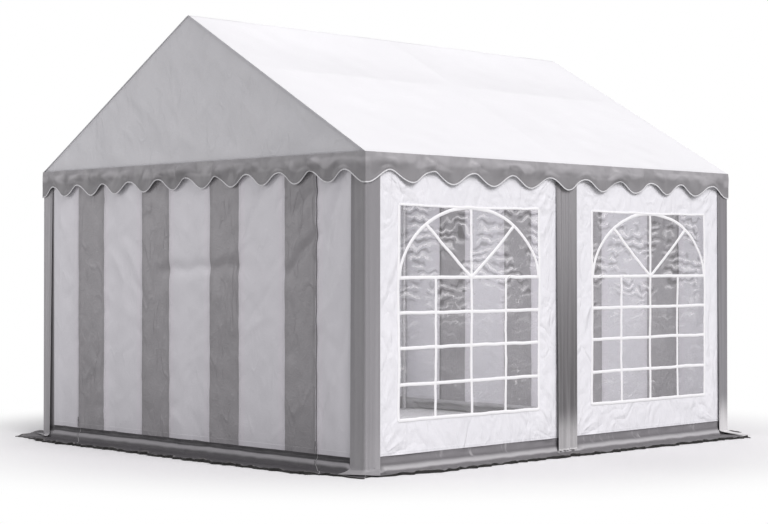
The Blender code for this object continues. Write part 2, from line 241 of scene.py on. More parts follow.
def cloth_piece(name, mesh, finish, stands_for=()):
    """Puts a finished mesh on the tent's one body, in place of the CAD panels that it dresses."""
    piece = bpy.data.objects.new(name, mesh)
    bpy.context.scene.collection.objects.link(piece)
    mesh.materials.append(finish)
    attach(piece, "root")
    if stands_for:
        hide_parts(*stands_for)
    print(f"{name}: {len(mesh.polygons)} faces")
    return piece


# %% [markdown]
# ## Cord, tape and piping
#
# Narrow trims are a small profile carried along a path. At each point of the path two directions, side and
# out, place the profile. A path that closes on itself needs no caps.


# %% Sweep builder
def sweep_mesh(name, parts):
    """Profiles carried along paths, as one mesh. A part is (path, side, out, profile, is_loop)."""
    points, faces, flats, start = [], [], [], 0
    for path, side, out, profile, is_loop in parts:
        rings, ring = len(path), len(profile)
        place = path[:, None] + profile[None, :, :1] * side[:, None] + profile[None, :, 1:] * out[:, None]
        points.append(place.reshape(-1, 3))
        number = start + np.arange(rings * ring).reshape(rings, ring)
        number = np.hstack([number, number[:, :1]])
        number = np.vstack([number, number[:1]]) if is_loop else number
        quads = np.stack([number[:-1, :-1], number[:-1, 1:], number[1:, 1:], number[1:, :-1]], axis=-1)
        faces += quads.reshape(-1, 4).tolist()
        run = np.concatenate([[0.0], np.linalg.norm(np.diff(path, axis=0), axis=1).cumsum()])
        run = np.append(run, run[-1] + np.linalg.norm(path[0] - path[-1])) if is_loop else run
        girth = np.arange(ring + 1) / ring
        flat = np.stack(np.broadcast_arrays(run[:, None], 0.02 * girth[None]), axis=-1)
        pairs = [flat[:-1, :-1], flat[:-1, 1:], flat[1:, 1:], flat[1:, :-1]]
        flats.append(np.stack(pairs, axis=2).reshape(-1, 2))
        if not is_loop:
            faces += [number[0, :-1][::-1].tolist(), number[-1, :-1].tolist()]
            flats.append(np.repeat(flat[:1, 0], ring, axis=0))
            flats.append(np.repeat(flat[-1:, 0], ring, axis=0))
        start += rings * ring
    mesh = bpy.data.meshes.new(name)
    mesh.from_pydata(np.concatenate(points).tolist(), [], faces)
    layer = mesh.uv_layers.new(name="cloth")
    layer.data.foreach_set("uv", np.concatenate(flats).astype(np.float32).ravel())
    mesh.shade_smooth()
    mesh.set_sharp_from_angle(angle=SHARP_TURN)
    return mesh


def turned_outward(mesh):
    """Turns a closed mesh's faces outward if its volume comes out negative."""
    mesh.calc_loop_triangles()
    corners = np.empty(3 * len(mesh.loop_triangles), np.int32)
    mesh.loop_triangles.foreach_get("vertices", corners)
    points = np.empty(3 * len(mesh.vertices), np.float32)
    mesh.vertices.foreach_get("co", points)
    a, b, c = points.reshape(-1, 3)[corners].reshape(-1, 3, 3).transpose(1, 0, 2)
    if (a * np.cross(b, c)).sum() < 0.0:
        mesh.flip_normals()
    return mesh


def flat_profile(width, thickness):
    """The outline of a tape: a rectangle with its corners cut off, running round counterclockwise."""
    x, y, cut = width / 2.0, thickness / 2.0, thickness / 4.0
    one_side = [(x - cut, -y), (x, cut - y), (x, y - cut), (x - cut, y)]
    return np.array(one_side + [(-a, -b) for a, b in one_side])


# %% [markdown]
# ## Writing a material as a sum
#
# A node tree is easier to read as arithmetic. The class Wire holds one output of a node and takes part in
# sums and products, each of which adds a Math node. Finish holds a material and has one method, node, for
# everything that isn't arithmetic.


# %% Shader helper
class Wire:
    """An output of a node that can be used like a number."""

    def __init__(self, finish, socket):
        self.finish = finish
        self.socket = socket

    def math(self, operation, *values, **settings):
        """A Math node on these values."""
        return self.finish.node("ShaderNodeMath", {"operation": operation, **settings}, enumerate(values))

    def __add__(self, other):
        return self.math("ADD", self, other)

    def __radd__(self, other):
        return self.math("ADD", other, self)

    def __sub__(self, other):
        return self.math("SUBTRACT", self, other)

    def __rsub__(self, other):
        return self.math("SUBTRACT", other, self)

    def __mul__(self, other):
        return self.math("MULTIPLY", self, other)

    def __rmul__(self, other):
        return self.math("MULTIPLY", other, self)

    def __abs__(self):
        return self.math("ABSOLUTE", self)

    def least(self, other):
        """The smaller of two values."""
        return self.math("MINIMUM", self, other)

    def wave(self, length):
        """A sine of this value, from -1 to 1, that repeats once a length."""
        return self.math("SINE", self * (2.0 * math.pi / length))

    def rise(self, low, high):
        """0 below low, 1 above high, and an S-curve between them. low may be the larger one."""
        settings = {"interpolation_type": "SMOOTHSTEP"}
        inputs = {"Value": self, "From Min": low, "From Max": high}
        return self.finish.node("ShaderNodeMapRange", settings, inputs)


class Finish:
    """A material, its Principled shader and one way to add a node to it."""

    def __init__(self, name):
        self.material = bpy.data.materials.new(name)
        self.material.use_nodes = True
        self.tree = self.material.node_tree
        self.shader = self.tree.nodes["Principled BSDF"]

    def feed(self, socket, value):
        """Links a Wire to a socket, or sets the socket's own value."""
        if isinstance(value, Wire):
            self.tree.links.new(value.socket, socket)
        else:
            socket.default_value = value

    def node(self, kind, settings=(), inputs=(), output=0):
        """A node with its settings, then the values or links of its sockets, and one of its outputs."""
        made = self.tree.nodes.new(kind)
        for name, value in dict(settings).items():
            setattr(made, name, value)
        for name, value in dict(inputs).items():
            self.feed(made.inputs[name], value)
        return Wire(self, made.outputs[output])

    def set(self, **inputs):
        """Feeds sockets of the Principled shader, with underscores for the spaces in their names."""
        for name, value in inputs.items():
            self.feed(self.shader.inputs[name.replace("_", " ")], value)
        return self.material

    def cloth(self):
        """The flat cut of the cloth in metres, as a vector and as its two parts."""
        where = self.node("ShaderNodeUVMap", {"uv_map": "cloth"})
        parts = self.node("ShaderNodeSeparateXYZ", inputs={"Vector": where})
        return where, parts, Wire(self, parts.socket.node.outputs["Y"])

    def mark(self, name):
        """One of the two attributes of a sheet, hem or lining."""
        return self.node("ShaderNodeAttribute", {"attribute_name": name}, output="Fac")

    def noise(self, where, scale, detail=2.0, twist=0.0, stretch=None, turn=0.0):
        """Noise from 0 to 1. stretch and turn lay it in streaks."""
        if stretch is not None:
            inputs = {"Vector": where, "Rotation": (0.0, 0.0, turn), "Scale": stretch}
            where = self.node("ShaderNodeMapping", inputs=inputs)
        inputs = {"Vector": where, "Scale": scale, "Detail": detail, "Distortion": twist}
        return self.node("ShaderNodeTexNoise", inputs=inputs)

    def blend(self, share, first, second):
        """A colour between two."""
        return self.node("ShaderNodeMix", {"data_type": "RGBA"}, {0: share, 6: first, 7: second}, output=2)

    def bump(self, height, strength=1.0):
        """A normal bent by a height in metres."""
        return self.node("ShaderNodeBump", inputs={"Height": height, "Strength": strength, "Distance": 1.0})


# %% [markdown]
# ## Coated fabric
#
# Marquee cloth is a polyester scrim between two skins of soft PVC. From near by it shows a fine square
# weave, and from further off the creases it got in its bag: thin ridges, a hand long, mostly slanting, and
# finer crumples between them. Noise is smooth, but the line where it passes its middle value is thin and
# wanders, so the distance from that value draws a ridge. Heights are true metres, so one recipe serves
# every panel.


# %% Creases in a material
def ridges(finish, where, scale, turn, width):
    """Thin ridges: 1 where stretched noise is at its middle value, 0 where it is further off than width."""
    streaks = finish.noise(where, scale, 1.6, 0.5, (1.0, 0.36, 1.0), math.radians(turn))
    return abs(streaks - 0.5).rise(width, 0.0)


def cloth_height(finish, where, u, v, crumple):
    """Height of the cloth's surface in metres: weave, fine crumples, and ridges that slant two ways."""
    weave = u.wave(0.0032) * v.wave(0.0032) * 0.00004
    fine = abs(finish.noise(where, 24.0, 3.0, 0.6) - 0.5) * 0.0022
    soft = finish.noise(where, 7.0, 1.0, 0.6, (1.0, 0.4, 1.0), math.radians(60)) * 0.0045
    patches = finish.noise(where, 2.6, 1.0).rise(0.40, 0.66)
    gaps = finish.noise(where, 5.0, 1.0).rise(0.42, 0.60)
    one_way = ridges(finish, where, 6.5, 52.0, 0.055) * patches
    other_way = ridges(finish, where, 5.5, -38.0, 0.050) * (1.0 - patches) * gaps
    return weave + (fine + soft + one_way * 0.0016 + other_way * 0.0015) * crumple


def stitches(u, v, distance, at):
    """A row of stitches at a distance from an edge: 1 on a thread, 0 beside it."""
    row = abs(distance - at).rise(0.0016, 0.0006)
    return row * (u + v).wave(0.007).rise(-0.5, -0.1)


def corner_fan(finish, across, up, corner_across, corner_up, reach):
    """Drag lines that fan out of a corner: noise laid on the angle round it and the distance from it."""
    away, above = across - corner_across, up - corner_up
    angle = above.math("ARCTAN2", above, away)
    distance = (away * away + above * above).math("SQRT", away * away + above * above)
    polar = finish.node("ShaderNodeCombineXYZ", inputs={"X": angle * 2.6, "Y": distance * 4.0})
    streaks = finish.noise(polar, 1.5, 1.5, 0.5) - 0.5
    return streaks * distance.rise(0.03, 0.25) * distance.rise(reach, 0.25 * reach)


# %% [markdown]
# ## Plain panels
#
# One function mixes every plain cloth: a colour that drifts towards its shade and a row of stitches along the
# hem. Sleeves and covers have upright streaks, painted light and shade of the folds they hang in, and the
# foot of some grows pale, almost white. The top of a cover is greyed with painted shade. The valance is
# painted darker on its lobes, as painted shade where it turns in under its soft roll, and has painted
# highlights on the roll.


# %% Fabric materials
LOBE_TOP, LOBE_FULL = 0.052, 0.086
SHADED_TOP = (0.355, 0.346, 0.358, 1.0)
PALE_FOOT = (0.60, 0.59, 0.595, 1.0)
BRIGHT_EDGE = (0.80, 0.79, 0.79, 1.0)


def darker(colour, share):
    """The same colour at a share of its brightness."""
    return tuple(share * part for part in colour[:3]) + (1.0,)


def coated_fabric(name, pair, crumple, dents=None, foot_and_top=None, scalloped=False, streaks=0.0):
    """PVC-coated cloth whose colour drifts between the two of a pair.

    dents is a function that adds to the height. foot_and_top holds two shares, of a pale tone at the foot and
    of painted shade, a darker grey, at the top. A scalloped one is painted darker on its lobes, as painted
    shade below the soft roll under the eave, and has painted highlights on the roll.
    """
    finish = Finish(name)
    where, u, v = finish.cloth()
    colour, shade = ((*part, 1.0) for part in pair)
    drift = finish.noise(where, 1.1, 3.0).rise(0.30, 0.72) * 0.6 + finish.noise(where, 15.0, 4.0) * 0.4
    if streaks:
        # Painted light and shade: upright streaks stand in for the shading of the folds the cloth hangs in.
        painted_fold_shade = finish.noise(where, 1.0, 2.0, 0.3, (26.0, 0.8, 1.0)).rise(0.36, 0.64)
        drift = 0.5 + (painted_fold_shade - 0.5) * streaks
    height = cloth_height(finish, where, u, v, crumple)
    if dents:
        height = height + dents(finish, where, u, v)
    distance = finish.mark("hem")
    thread = stitches(u, v, distance, 0.012)
    height = height + distance.rise(0.0235, 0.0215) * 0.0008 - thread * 0.0006
    tint = finish.blend(drift, colour, shade)
    tint = finish.blend(thread * 0.25, tint, darker(shade, 0.6))
    place = finish.node("ShaderNodeTexCoord", output="Object")
    level = finish.node("ShaderNodeSeparateXYZ", inputs={"Vector": place}, output="Z")
    if scalloped:
        # Painted shade: the lobes below the roll are painted darker and clouds of painted shade lie over
        # them. The light patches on the roll are painted highlights.
        uneven = (finish.noise(where, 7.0, 2.0) - 0.5) * 0.05
        wavy = level + uneven
        lower = wavy.rise(eave_z - LOBE_TOP, eave_z - LOBE_FULL)
        painted_shade_clouds = finish.noise(where, 8.0, 2.0, 0.3, (1.0, 0.8, 1.0)).rise(0.44, 0.66)
        tint = finish.blend(lower * 0.46, tint, darker(shade, 0.55))
        tint = finish.blend(painted_shade_clouds * 0.30, tint, darker(shade, 0.55))
        band = wavy.rise(eave_z - 0.018, eave_z - 0.040) * wavy.rise(eave_z - 0.115, eave_z - 0.085)
        painted_highlight = finish.noise(where, 6.0, 0.0, 0.0, (1.0, 2.0, 1.0)).rise(0.48, 0.68)
        tint = finish.blend(painted_highlight * band * 0.42, tint, darker(colour, 1.4))
    if foot_and_top:
        uneven = finish.noise(where, 1.0, 3.0, 0.2, (30.0, 3.0, 1.0)) * 0.14
        # Painted shade greys the top; towards the foot the cloth grows pale, with a lighter strip at the very
        # bottom.
        tint = finish.blend(level.rise(0.50, 1.95) * foot_and_top[1], tint, SHADED_TOP)
        tint = finish.blend((level + uneven).rise(0.42, 0.15) * foot_and_top[0], tint, PALE_FOOT)
        tint = finish.blend(level.rise(0.032, 0.025) * foot_and_top[0], tint, BRIGHT_EDGE)
    rough = 0.34 + 0.18 * finish.noise(where, 5.0, 3.0)
    return finish.set(Base_Color=tint, Roughness=rough, Normal=finish.bump(height))


def side_wall_creases(finish, where, u, v):
    """Creases of a side wall: broad dents, fans from its four corners, and upright folds along its edges."""
    across = abs(abs(u) - wall_y / 2.0)
    dents = finish.noise(where, 5.0, 2.0, 1.0, (1.0, 0.6, 1.0), math.radians(35))
    low = corner_fan(finish, across, v, 0.92, 0.08, 0.70)
    high = corner_fan(finish, across, v, 0.90, 1.98, 0.85)
    upright = finish.noise(where, 1.0, 2.0, 0.3, (30.0, 1.5, 1.0)) - 0.5
    beside = finish.noise(where, 1.0, 2.0, 0.5, (22.0, 5.0, 1.0), math.radians(-24)) - 0.5
    strip = across.rise(0.66, 0.76) * across.rise(0.92, 0.80)
    folds = upright * across.rise(0.80, 0.92) * 0.0060 + beside * strip * 0.0080
    return abs(dents - 0.5) * 0.034 + (low + high) * 0.017 + folds


ROOF_PAIR = (0.93, 0.93, 0.945), (0.91, 0.91, 0.925)
# Painted shade: the gable triangles are the roof's white cloth, painted darker because they stand in open
# shade.
SHADED_GABLE_PAIR = (0.700, 0.697, 0.722), (0.662, 0.662, 0.688)
SIDE_PAIR = (0.868, 0.862, 0.895), (0.828, 0.828, 0.860)
VALANCE_PAIR = (0.395, 0.386, 0.399), (0.325, 0.317, 0.328)
# Painted light and shade: the sleeves are one grey cloth; the left one is painted lighter and the back ones
# darker.
NEAR_PAIR = (0.300, 0.292, 0.305), (0.258, 0.251, 0.263)
LEFT_PAIR_PAINTED_LIGHT = (0.460, 0.450, 0.466), (0.375, 0.367, 0.381)
BACK_PAIR_PAINTED_SHADE = (0.262, 0.255, 0.267), (0.205, 0.199, 0.210)
COVER_PAIR = (0.200, 0.194, 0.199), (0.130, 0.125, 0.129)
roof_white = coated_fabric("roof_white", ROOF_PAIR, 0.35)
gable_white = coated_fabric("gable_white", SHADED_GABLE_PAIR, 0.9)
side_white = coated_fabric("side_white", SIDE_PAIR, 1.5, side_wall_creases)
valance_grey = coated_fabric("valance_grey", VALANCE_PAIR, 0.8, scalloped=True)
sleeve_near = coated_fabric("sleeve_near", NEAR_PAIR, 0.6, foot_and_top=(0.10, 0.0), streaks=0.4)
sleeve_left = coated_fabric("sleeve_left", LEFT_PAIR_PAINTED_LIGHT, 0.6, foot_and_top=(0.10, 0.0), streaks=0.8)
sleeve_back = coated_fabric("sleeve_back", BACK_PAIR_PAINTED_SHADE, 0.6, foot_and_top=(1.0, 0.0), streaks=0.8)
cover_grey = coated_fabric("cover_grey", COVER_PAIR, 0.7, foot_and_top=(0.78, 0.85), streaks=1.0)
print("plain fabrics ready")

# %% [markdown]
# ## Stripes
#
# A striped wall is sewn from strips of light and dark cloth. One panel of cloth with the stripes in its
# material is simpler than many strips, and it keeps the folds running across the seams as they do on the real
# wall. The stripe is a product of S-curves in the distance from the middle. Beside each seam the cloth lies
# double, which shows as a faint warm band and two rows of stitches. A hem runs along the foot, and a hem down
# each end, which on the outside is painted dark beside the sleeves, as painted shade of the sleeve that
# stands off the wall there.

# %% Striped wall material
SEAMS = (0.231, 0.548, 1.018, 1.333)
EDGE_HEM = 1.662
LIGHT_PAIR = (0.775, 0.762, 0.803, 1.0), (0.740, 0.733, 0.770, 1.0)
DARK_PAIR = (0.374, 0.362, 0.378, 1.0), (0.285, 0.275, 0.288, 1.0)
DOUBLED = (0.775, 0.738, 0.788, 1.0)
THREAD = (0.27, 0.262, 0.275, 1.0)
FOOT_SHADE = (0.30, 0.29, 0.31, 1.0)
SLEEVE_SHADE = (0.190, 0.184, 0.193, 1.0)


def between(out, low, high):
    """1 between two seams, 0 beyond them, with an edge of 2 mm."""
    return out.rise(low - 0.001, low + 0.001) * out.rise(high + 0.001, high - 0.001)


def striped_fabric():
    """Light cloth with dark strips between two pairs of seams, counted from the middle of the wall."""
    finish = Finish("striped_cloth")
    where, u, v = finish.cloth()
    out = abs(u) + (finish.noise(where, 2.4, 2.0) - 0.5) * 0.012
    is_dark = between(out, *SEAMS[:2]) + between(out, *SEAMS[2:])
    seam = abs(out - SEAMS[0])
    for place in SEAMS[1:]:
        seam = seam.least(abs(out - place))
    drift = finish.noise(where, 1.3, 3.0).rise(0.30, 0.72) * 0.6 + finish.noise(where, 12.0, 4.0) * 0.4
    light = finish.blend(drift, *LIGHT_PAIR)
    light = finish.blend(seam.rise(0.066, 0.058) * 0.45, light, DOUBLED)
    tint = finish.blend(is_dark, light, finish.blend(drift, *DARK_PAIR))
    thread = stitches(u, v, seam, 0.008) + stitches(u, v, seam, 0.019)
    tint = finish.blend(thread * 0.5, tint, THREAD)
    foot_hem = v.rise(wall_foot + 0.034, wall_foot + 0.031)
    tint = finish.blend(foot_hem * 0.05, tint, FOOT_SHADE)
    # Painted shade: on the outside a dark band down each end of the wall stands for the shadow of the sleeve
    # that stands off it; the band is also a raised hem.
    end_hem_and_sleeve_shade = abs(u).rise(EDGE_HEM, EDGE_HEM + 0.014) * (1.0 - finish.mark("lining"))
    tint = finish.blend(end_hem_and_sleeve_shade, tint, SLEEVE_SHADE)
    height = cloth_height(finish, where, u, v, 0.55 + is_dark * 1.3)
    height = height + (seam.rise(0.026, 0.024) + foot_hem + end_hem_and_sleeve_shade - thread) * 0.0007
    rough = 0.32 + 0.16 * finish.noise(where, 5.0, 3.0)
    return finish.set(Base_Color=tint, Roughness=rough, Normal=finish.bump(height))


striped_cloth = striped_fabric()

# %% [markdown]
# ## Skirt cloth
#
# The skirt's colour is mostly painted light. Its top, under the hem of the wall, is painted in shade, darkest
# just above the rolled fold. The rolled fold carries a painted highlight, and the flap on the floor is
# darker, partly with stains and, on the gables, with painted shade. Its torn edge is painted black, as the
# painted shadow under its curl, and on the side skirts painted glints lie on the band under the hem. All of
# that depends on how far down the cloth a point is, so the flat cut drives the colour. Below each zip of the
# gable walls the skirt is parted, which shows as a dark slit with a pale edge.


# %% Skirt material
SOIL = (0.075, 0.066, 0.060, 1.0)
SKIRT_GLINT = (0.55, 0.54, 0.55, 1.0)
SLIT, SLIT_EDGE = (0.045, 0.043, 0.046, 1.0), (0.50, 0.49, 0.50, 1.0)
PALE_EDGE, CURL_SHADOW = (0.34, 0.32, 0.31, 1.0), (0.012, 0.011, 0.010, 1.0)
INSIDE_GREY = (0.42, 0.41, 0.425, 1.0)


def skirt_fabric(name, colours, starts, slit=None, skirt_glints=0.0):
    """Grey cloth in four zones down its length, each a colour that starts over a short stretch of it.

    slit is where the skirt is parted below a zip, and it leans to one side on the flap.
    """
    finish = Finish(name)
    where, u, v = finish.cloth()
    down = 0.0 - v + (finish.noise(where, 6.0, 3.0) - 0.5) * 0.014
    # Painted light down the skirt: painted shade under the wall's hem, a painted highlight on the roll, and a
    # darker flap, stained and, on the gables, painted shade.
    tint = (*colours[0], 1.0)
    for colour, (start, end) in zip(colours[1:], starts):
        tint = finish.blend(down.rise(start, end), tint, (*colour, 1.0))
    stains = finish.noise(where, 11.0, 4.0, 0.4).rise(0.50, 0.72) * down.rise(0.10, 0.16)
    tint = finish.blend(stains * 0.35, tint, SOIL)
    # Painted highlights: light strokes on the band under the hem stand for glints on its wrinkles.
    spots = finish.noise(where, 3.6, 1.0).rise(0.50, 0.60) * down.rise(0.082, 0.060)
    glint_strokes = finish.noise(where, 26.0, 2.0, 0.3, (1.0, 0.30, 1.0), math.radians(50)).rise(0.52, 0.70)
    tint = finish.blend(glint_strokes * spots * skirt_glints, tint, SKIRT_GLINT)
    if slit:
        lean = down.rise(0.03, 0.33) * 0.26
        beside = abs(abs(u - lean) - slit)
        tint = finish.blend(beside.rise(0.010, 0.007), tint, SLIT)
        tint = finish.blend(beside.rise(0.0045, 0.0025) * 0.7, tint, SLIT_EDGE)
    distance = finish.mark("hem")
    edge = distance + (finish.noise(where, 30.0, 3.0) - 0.5) * 0.012
    tint = finish.blend(edge.rise(0.040, 0.028) * 0.30, tint, PALE_EDGE)
    # Painted shadow: the last two centimetres of the flap are painted black, the shadow under its curled
    # edge.
    tint = finish.blend(edge.rise(0.0225, 0.0180), tint, CURL_SHADOW)
    tint = finish.blend(finish.mark("lining"), tint, INSIDE_GREY)
    height = cloth_height(finish, where, u, v, 1.0)
    rough = 0.40 + 0.30 * finish.noise(where, 8.0, 3.0)
    return finish.set(Base_Color=tint, Roughness=rough, Normal=finish.bump(height))


# The gable's tones are the side's tones painted darker, as painted shade; on both, the roll's light tone is a
# painted highlight.
GABLE_PAINTED_SHADE_TONES = (0.170, 0.164, 0.172), (0.082, 0.079, 0.084), (0.31, 0.302, 0.314), (0.076, 0.072, 0.078)
GABLE_STARTS = (0.006, 0.026), (0.044, 0.058), (0.078, 0.102)
SIDE_PAINTED_TONES = (0.225, 0.218, 0.229), (0.150, 0.144, 0.152), (0.44, 0.432, 0.442), (0.165, 0.158, 0.165)
SIDE_STARTS = (0.020, 0.066), (0.058, 0.106), (0.106, 0.124)
gable_skirt = skirt_fabric("gable_skirt", GABLE_PAINTED_SHADE_TONES, GABLE_STARTS, slit=zip_x)
side_skirt = skirt_fabric("side_skirt", SIDE_PAINTED_TONES, SIDE_STARTS, skirt_glints=0.45)

# %% [markdown]
# ## Clear film
#
# The windows are soft clear PVC. It is nearly invisible straight on. Its wrinkles show as white glints with
# darker bends beside them, most of them in the fan at the top, where the sheet hangs loose; here the glints
# are a painted reflection in white and the bends painted shade in grey. So the film is two things mixed: a
# clear skin with a weak reflection, and thin clouds of painted white and grey where it creases.


# %% Window film material
PAINTED_GLINT, PAINTED_BEND = (0.92, 0.915, 0.925, 1.0), (0.17, 0.165, 0.160, 1.0)


def clear_film():
    """Film that is clear but for haze, rows of painted white glints with painted darker bends between, and
    scratches.
    """
    finish = Finish("clear_film")
    where, _, v = finish.cloth()
    swing = (finish.noise(where, 6.5, 2.0, 0.3) - 0.5) * 0.17
    rows = (v + swing).wave(0.062) + (finish.noise(where, 14.0, 2.0) - 0.5) * 1.8
    loose = v.rise(0.80, 1.30) * 0.86 + 0.14
    patches = finish.noise(where, 5.0, 1.5).rise(0.38, 0.60) * loose
    # Painted reflection and shade: glints are white patches of colour, bends grey ones.
    painted_glint = rows.rise(-0.05, 1.30) * patches
    bend = rows.rise(-0.20, -1.30) * patches
    scratch = abs(finish.noise(where, 6.0, 1.0, 0.3, (1.0, 4.0, 1.0)) - 0.5).rise(0.012, 0.0)
    scratch = scratch * finish.noise(where, 3.4, 2.0).rise(0.52, 0.62) * 0.22
    alpha = 0.06 + painted_glint * 0.30 + bend * 0.17 + scratch
    tint = finish.blend(bend.rise(0.08, 0.55), PAINTED_GLINT, PAINTED_BEND)
    normal = finish.bump(rows * 0.0008)
    return finish.set(Base_Color=tint, Roughness=0.16, IOR=1.45, Alpha=alpha, Normal=normal)


film = clear_film()

# %% [markdown]
# ## Steel, zips and trims
#
# Galvanised tube has a mosaic of zinc crystals, which random cells imitate: each cell is a little lighter
# or darker and a little rougher than the next. Zips and trims are small, so their materials stay simple.


# %% Hard materials
def galvanised_steel():
    """Zinc crystals of a centimetre, each with its own grey and its own shine."""
    finish = Finish("galvanised_tube")
    where = finish.node("ShaderNodeTexCoord", output="Object")
    cells = finish.node("ShaderNodeTexVoronoi", inputs={"Vector": where, "Scale": 95.0}, output="Color")
    grain = finish.node("ShaderNodeSeparateColor", inputs={"Color": cells})
    dull = finish.noise(where, 3.0, 4.0).rise(0.45, 0.75)
    bright = finish.blend(grain, (0.58, 0.575, 0.585, 1.0), (0.70, 0.695, 0.705, 1.0))
    tint = finish.blend(dull * 0.6, bright, (0.50, 0.495, 0.50, 1.0))
    rough = 0.40 + 0.14 * grain + 0.2 * dull
    return finish.set(Base_Color=tint, Metallic=0.55 - 0.3 * dull, Roughness=rough)


def trim_tape(name, colour, shade, roughness):
    """Woven tape: fine cross threads and a drifting tint."""
    finish = Finish(name)
    where, u, _ = finish.cloth()
    tint = finish.blend(finish.noise(where, 20.0, 3.0), (*colour, 1.0), (*shade, 1.0))
    height = u.wave(0.0024) * 0.00006 + finish.noise(where, 40.0, 2.0) * 0.0006
    return finish.set(Base_Color=tint, Roughness=roughness, Normal=finish.bump(height))


steel = galvanised_steel()
white_tape = trim_tape("white_tape", (0.955, 0.95, 0.96), (0.93, 0.93, 0.945), 0.45)
piping_white = trim_tape("piping_white", (0.80, 0.795, 0.81), (0.68, 0.68, 0.70), 0.5)
zip_tape = trim_tape("zip_tape", (0.22, 0.214, 0.224), (0.17, 0.165, 0.173), 0.6)

# %% [markdown]
# ## The steel frame keeps its CAD shape
#
# Tubes, sockets and foot plates are already right, so they only get the zinc finish.

# %% Steel on the frame
POSTS = tuple(f"post_{place}_{side}" for place in ("front", "middle", "back") for side in ("left", "right"))
TUBES = ("eave_rail", "gable_tie", "ridge_rail", "rafters", "purlin")
STEEL_NODES = [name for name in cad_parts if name.startswith(POSTS + TUBES)]
for name in STEEL_NODES:
    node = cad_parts[name]
    node.data.materials.clear()
    node.data.materials.append(steel)
print(len(STEEL_NODES), "steel nodes")

# %% [markdown]
# ## The roof
#
# One sheet of cloth runs from eave to eave over the ridge. It is drawn tight over three pairs of rafters
# and a purlin on each slope, and it sinks a little between them, so each of its bays is a shallow saddle.
# The sheet is laid out by its length along the slope from the ridge: a small arc over the ridge tube, then
# a straight slope on each side. The sag is a product of two sines, zero over every tube.

# %% Roof cover
RIDGE_ROUNDING = 0.0263
RAFTER_Y = 1.9687
PURLIN_DOWN = 0.839


def roof_spot(run, y, out):
    """A point on the roof, from its run along the slope, its place along the ridge and its lift."""
    turn = np.clip(run / RIDGE_ROUNDING, -slope, slope)
    rest = np.sign(run) * np.maximum(np.abs(run) - RIDGE_ROUNDING * slope, 0.0)
    apex = ridge_z - RIDGE_ROUNDING * (1.0 / math.cos(slope) - 1.0)
    x = RIDGE_ROUNDING * np.sin(turn) + rest * math.cos(slope) + out * np.sin(turn)
    z = apex - RIDGE_ROUNDING * (1.0 - np.cos(turn)) - np.abs(rest) * math.sin(slope) + out * np.cos(turn)
    return np.stack(np.broadcast_arrays(x, y, z), axis=-1)


def roof_lift(run, y):
    """Lift of the cloth: a sag in each bay, and ripples that die out over the tubes."""
    eave_run = roof_x / math.cos(slope)
    beside = np.abs(run)
    across = np.where(
        beside < PURLIN_DOWN,
        0.030 * np.sin(math.pi * beside / PURLIN_DOWN),
        0.017 * np.sin(math.pi * (beside - PURLIN_DOWN) / (eave_run - PURLIN_DOWN)),
    )
    bay = np.abs(np.sin(math.pi * np.clip(y, -RAFTER_Y, RAFTER_Y) / RAFTER_Y))
    bay = (np.sqrt(bay * bay + 0.01) - 0.1) ** 0.6
    ripple = ripples(run, y, 11, 0.25, 0.9) * 0.0012
    return bay * (ripple - np.clip(across, 0.0, None))


roof_run = roof_x / math.cos(slope) - RIDGE_ROUNDING * (math.tan(slope) - slope)
run, y = np.meshgrid(steps(-roof_run, roof_run, 0.022), steps(-roof_y, roof_y, 0.022))
edge = np.minimum(roof_run - np.abs(run), roof_y - np.abs(y))
spots = roof_spot(run, y, roof_lift(run, y))
roof_mesh = cloth_mesh("roof_cloth", spots, np.stack([run, y], axis=-1), hem=edge)
roof_cloth = cloth_piece("roof_cloth", roof_mesh, roof_white, ["roof_cover"])

# %% [markdown]
# ## The gable triangles
#
# A white triangle closes each gable under the roof. Its columns run from the eave line up to the roof, so
# the grid follows the slope without a sharp tip. It is pulled tight at its edges and crumpled inside.

# %% Gable triangles
ENDS = {"front": -1.0, "back": 1.0}
SIDES = {"left": -1.0, "right": 1.0}
GABLE_FOOT = wall_top + 0.0003
UNDER_ROOF = ridge_z - 0.0033 / math.cos(slope)
PEAK = ridge_z - RIDGE_ROUNDING * (1.0 / math.cos(slope) - 1.0) - 0.003
GABLE_SEEDS = {"front": 21, "back": 23}


def gable_top(x):
    """Height of the roof's underside above a place across the gable."""
    return np.minimum(UNDER_ROOF - np.abs(x) * math.tan(slope), PEAK)


def gable_lift(x, z, seed):
    """How far the triangle's cloth stands out: slow ripples and short creases, none at its edges."""
    inside = smooth(0.0, 0.12, gable_top(x) - z) * smooth(0.0, 0.12, z - GABLE_FOOT)
    rising = creases(x, z, seed, 45, (-1.5, 2.1), (1.5, 3.0), 0.15, 0.026, math.radians(55), 0.3)
    falling = creases(x, z, seed + 2, 45, (-1.2, 2.1), (1.2, 3.0), 0.15, 0.024, math.radians(-50), 0.3)
    return inside * (0.0025 * ripples(x, z, seed + 1, 0.3, 1.1) + 0.0055 * (rising + falling))


for end_name, end in ENDS.items():
    x, rise = np.meshgrid(steps(-wall_x, wall_x, 0.022), np.linspace(0.0, 1.0, 46))
    z = GABLE_FOOT + rise * (gable_top(x) - GABLE_FOOT)
    out = gable_lift(x, z, GABLE_SEEDS[end_name])
    spots = np.stack([x, end * (wall_y + out), z], axis=-1)
    edge = np.minimum(z - GABLE_FOOT, (gable_top(x) - z) * math.cos(slope))
    name = f"gable_{end_name}"
    mesh = cloth_mesh(name, spots, np.stack([x, z], axis=-1), hem=edge)
    triangle = cloth_piece(name, mesh, gable_white, [f"gable_panel_{end_name}"])

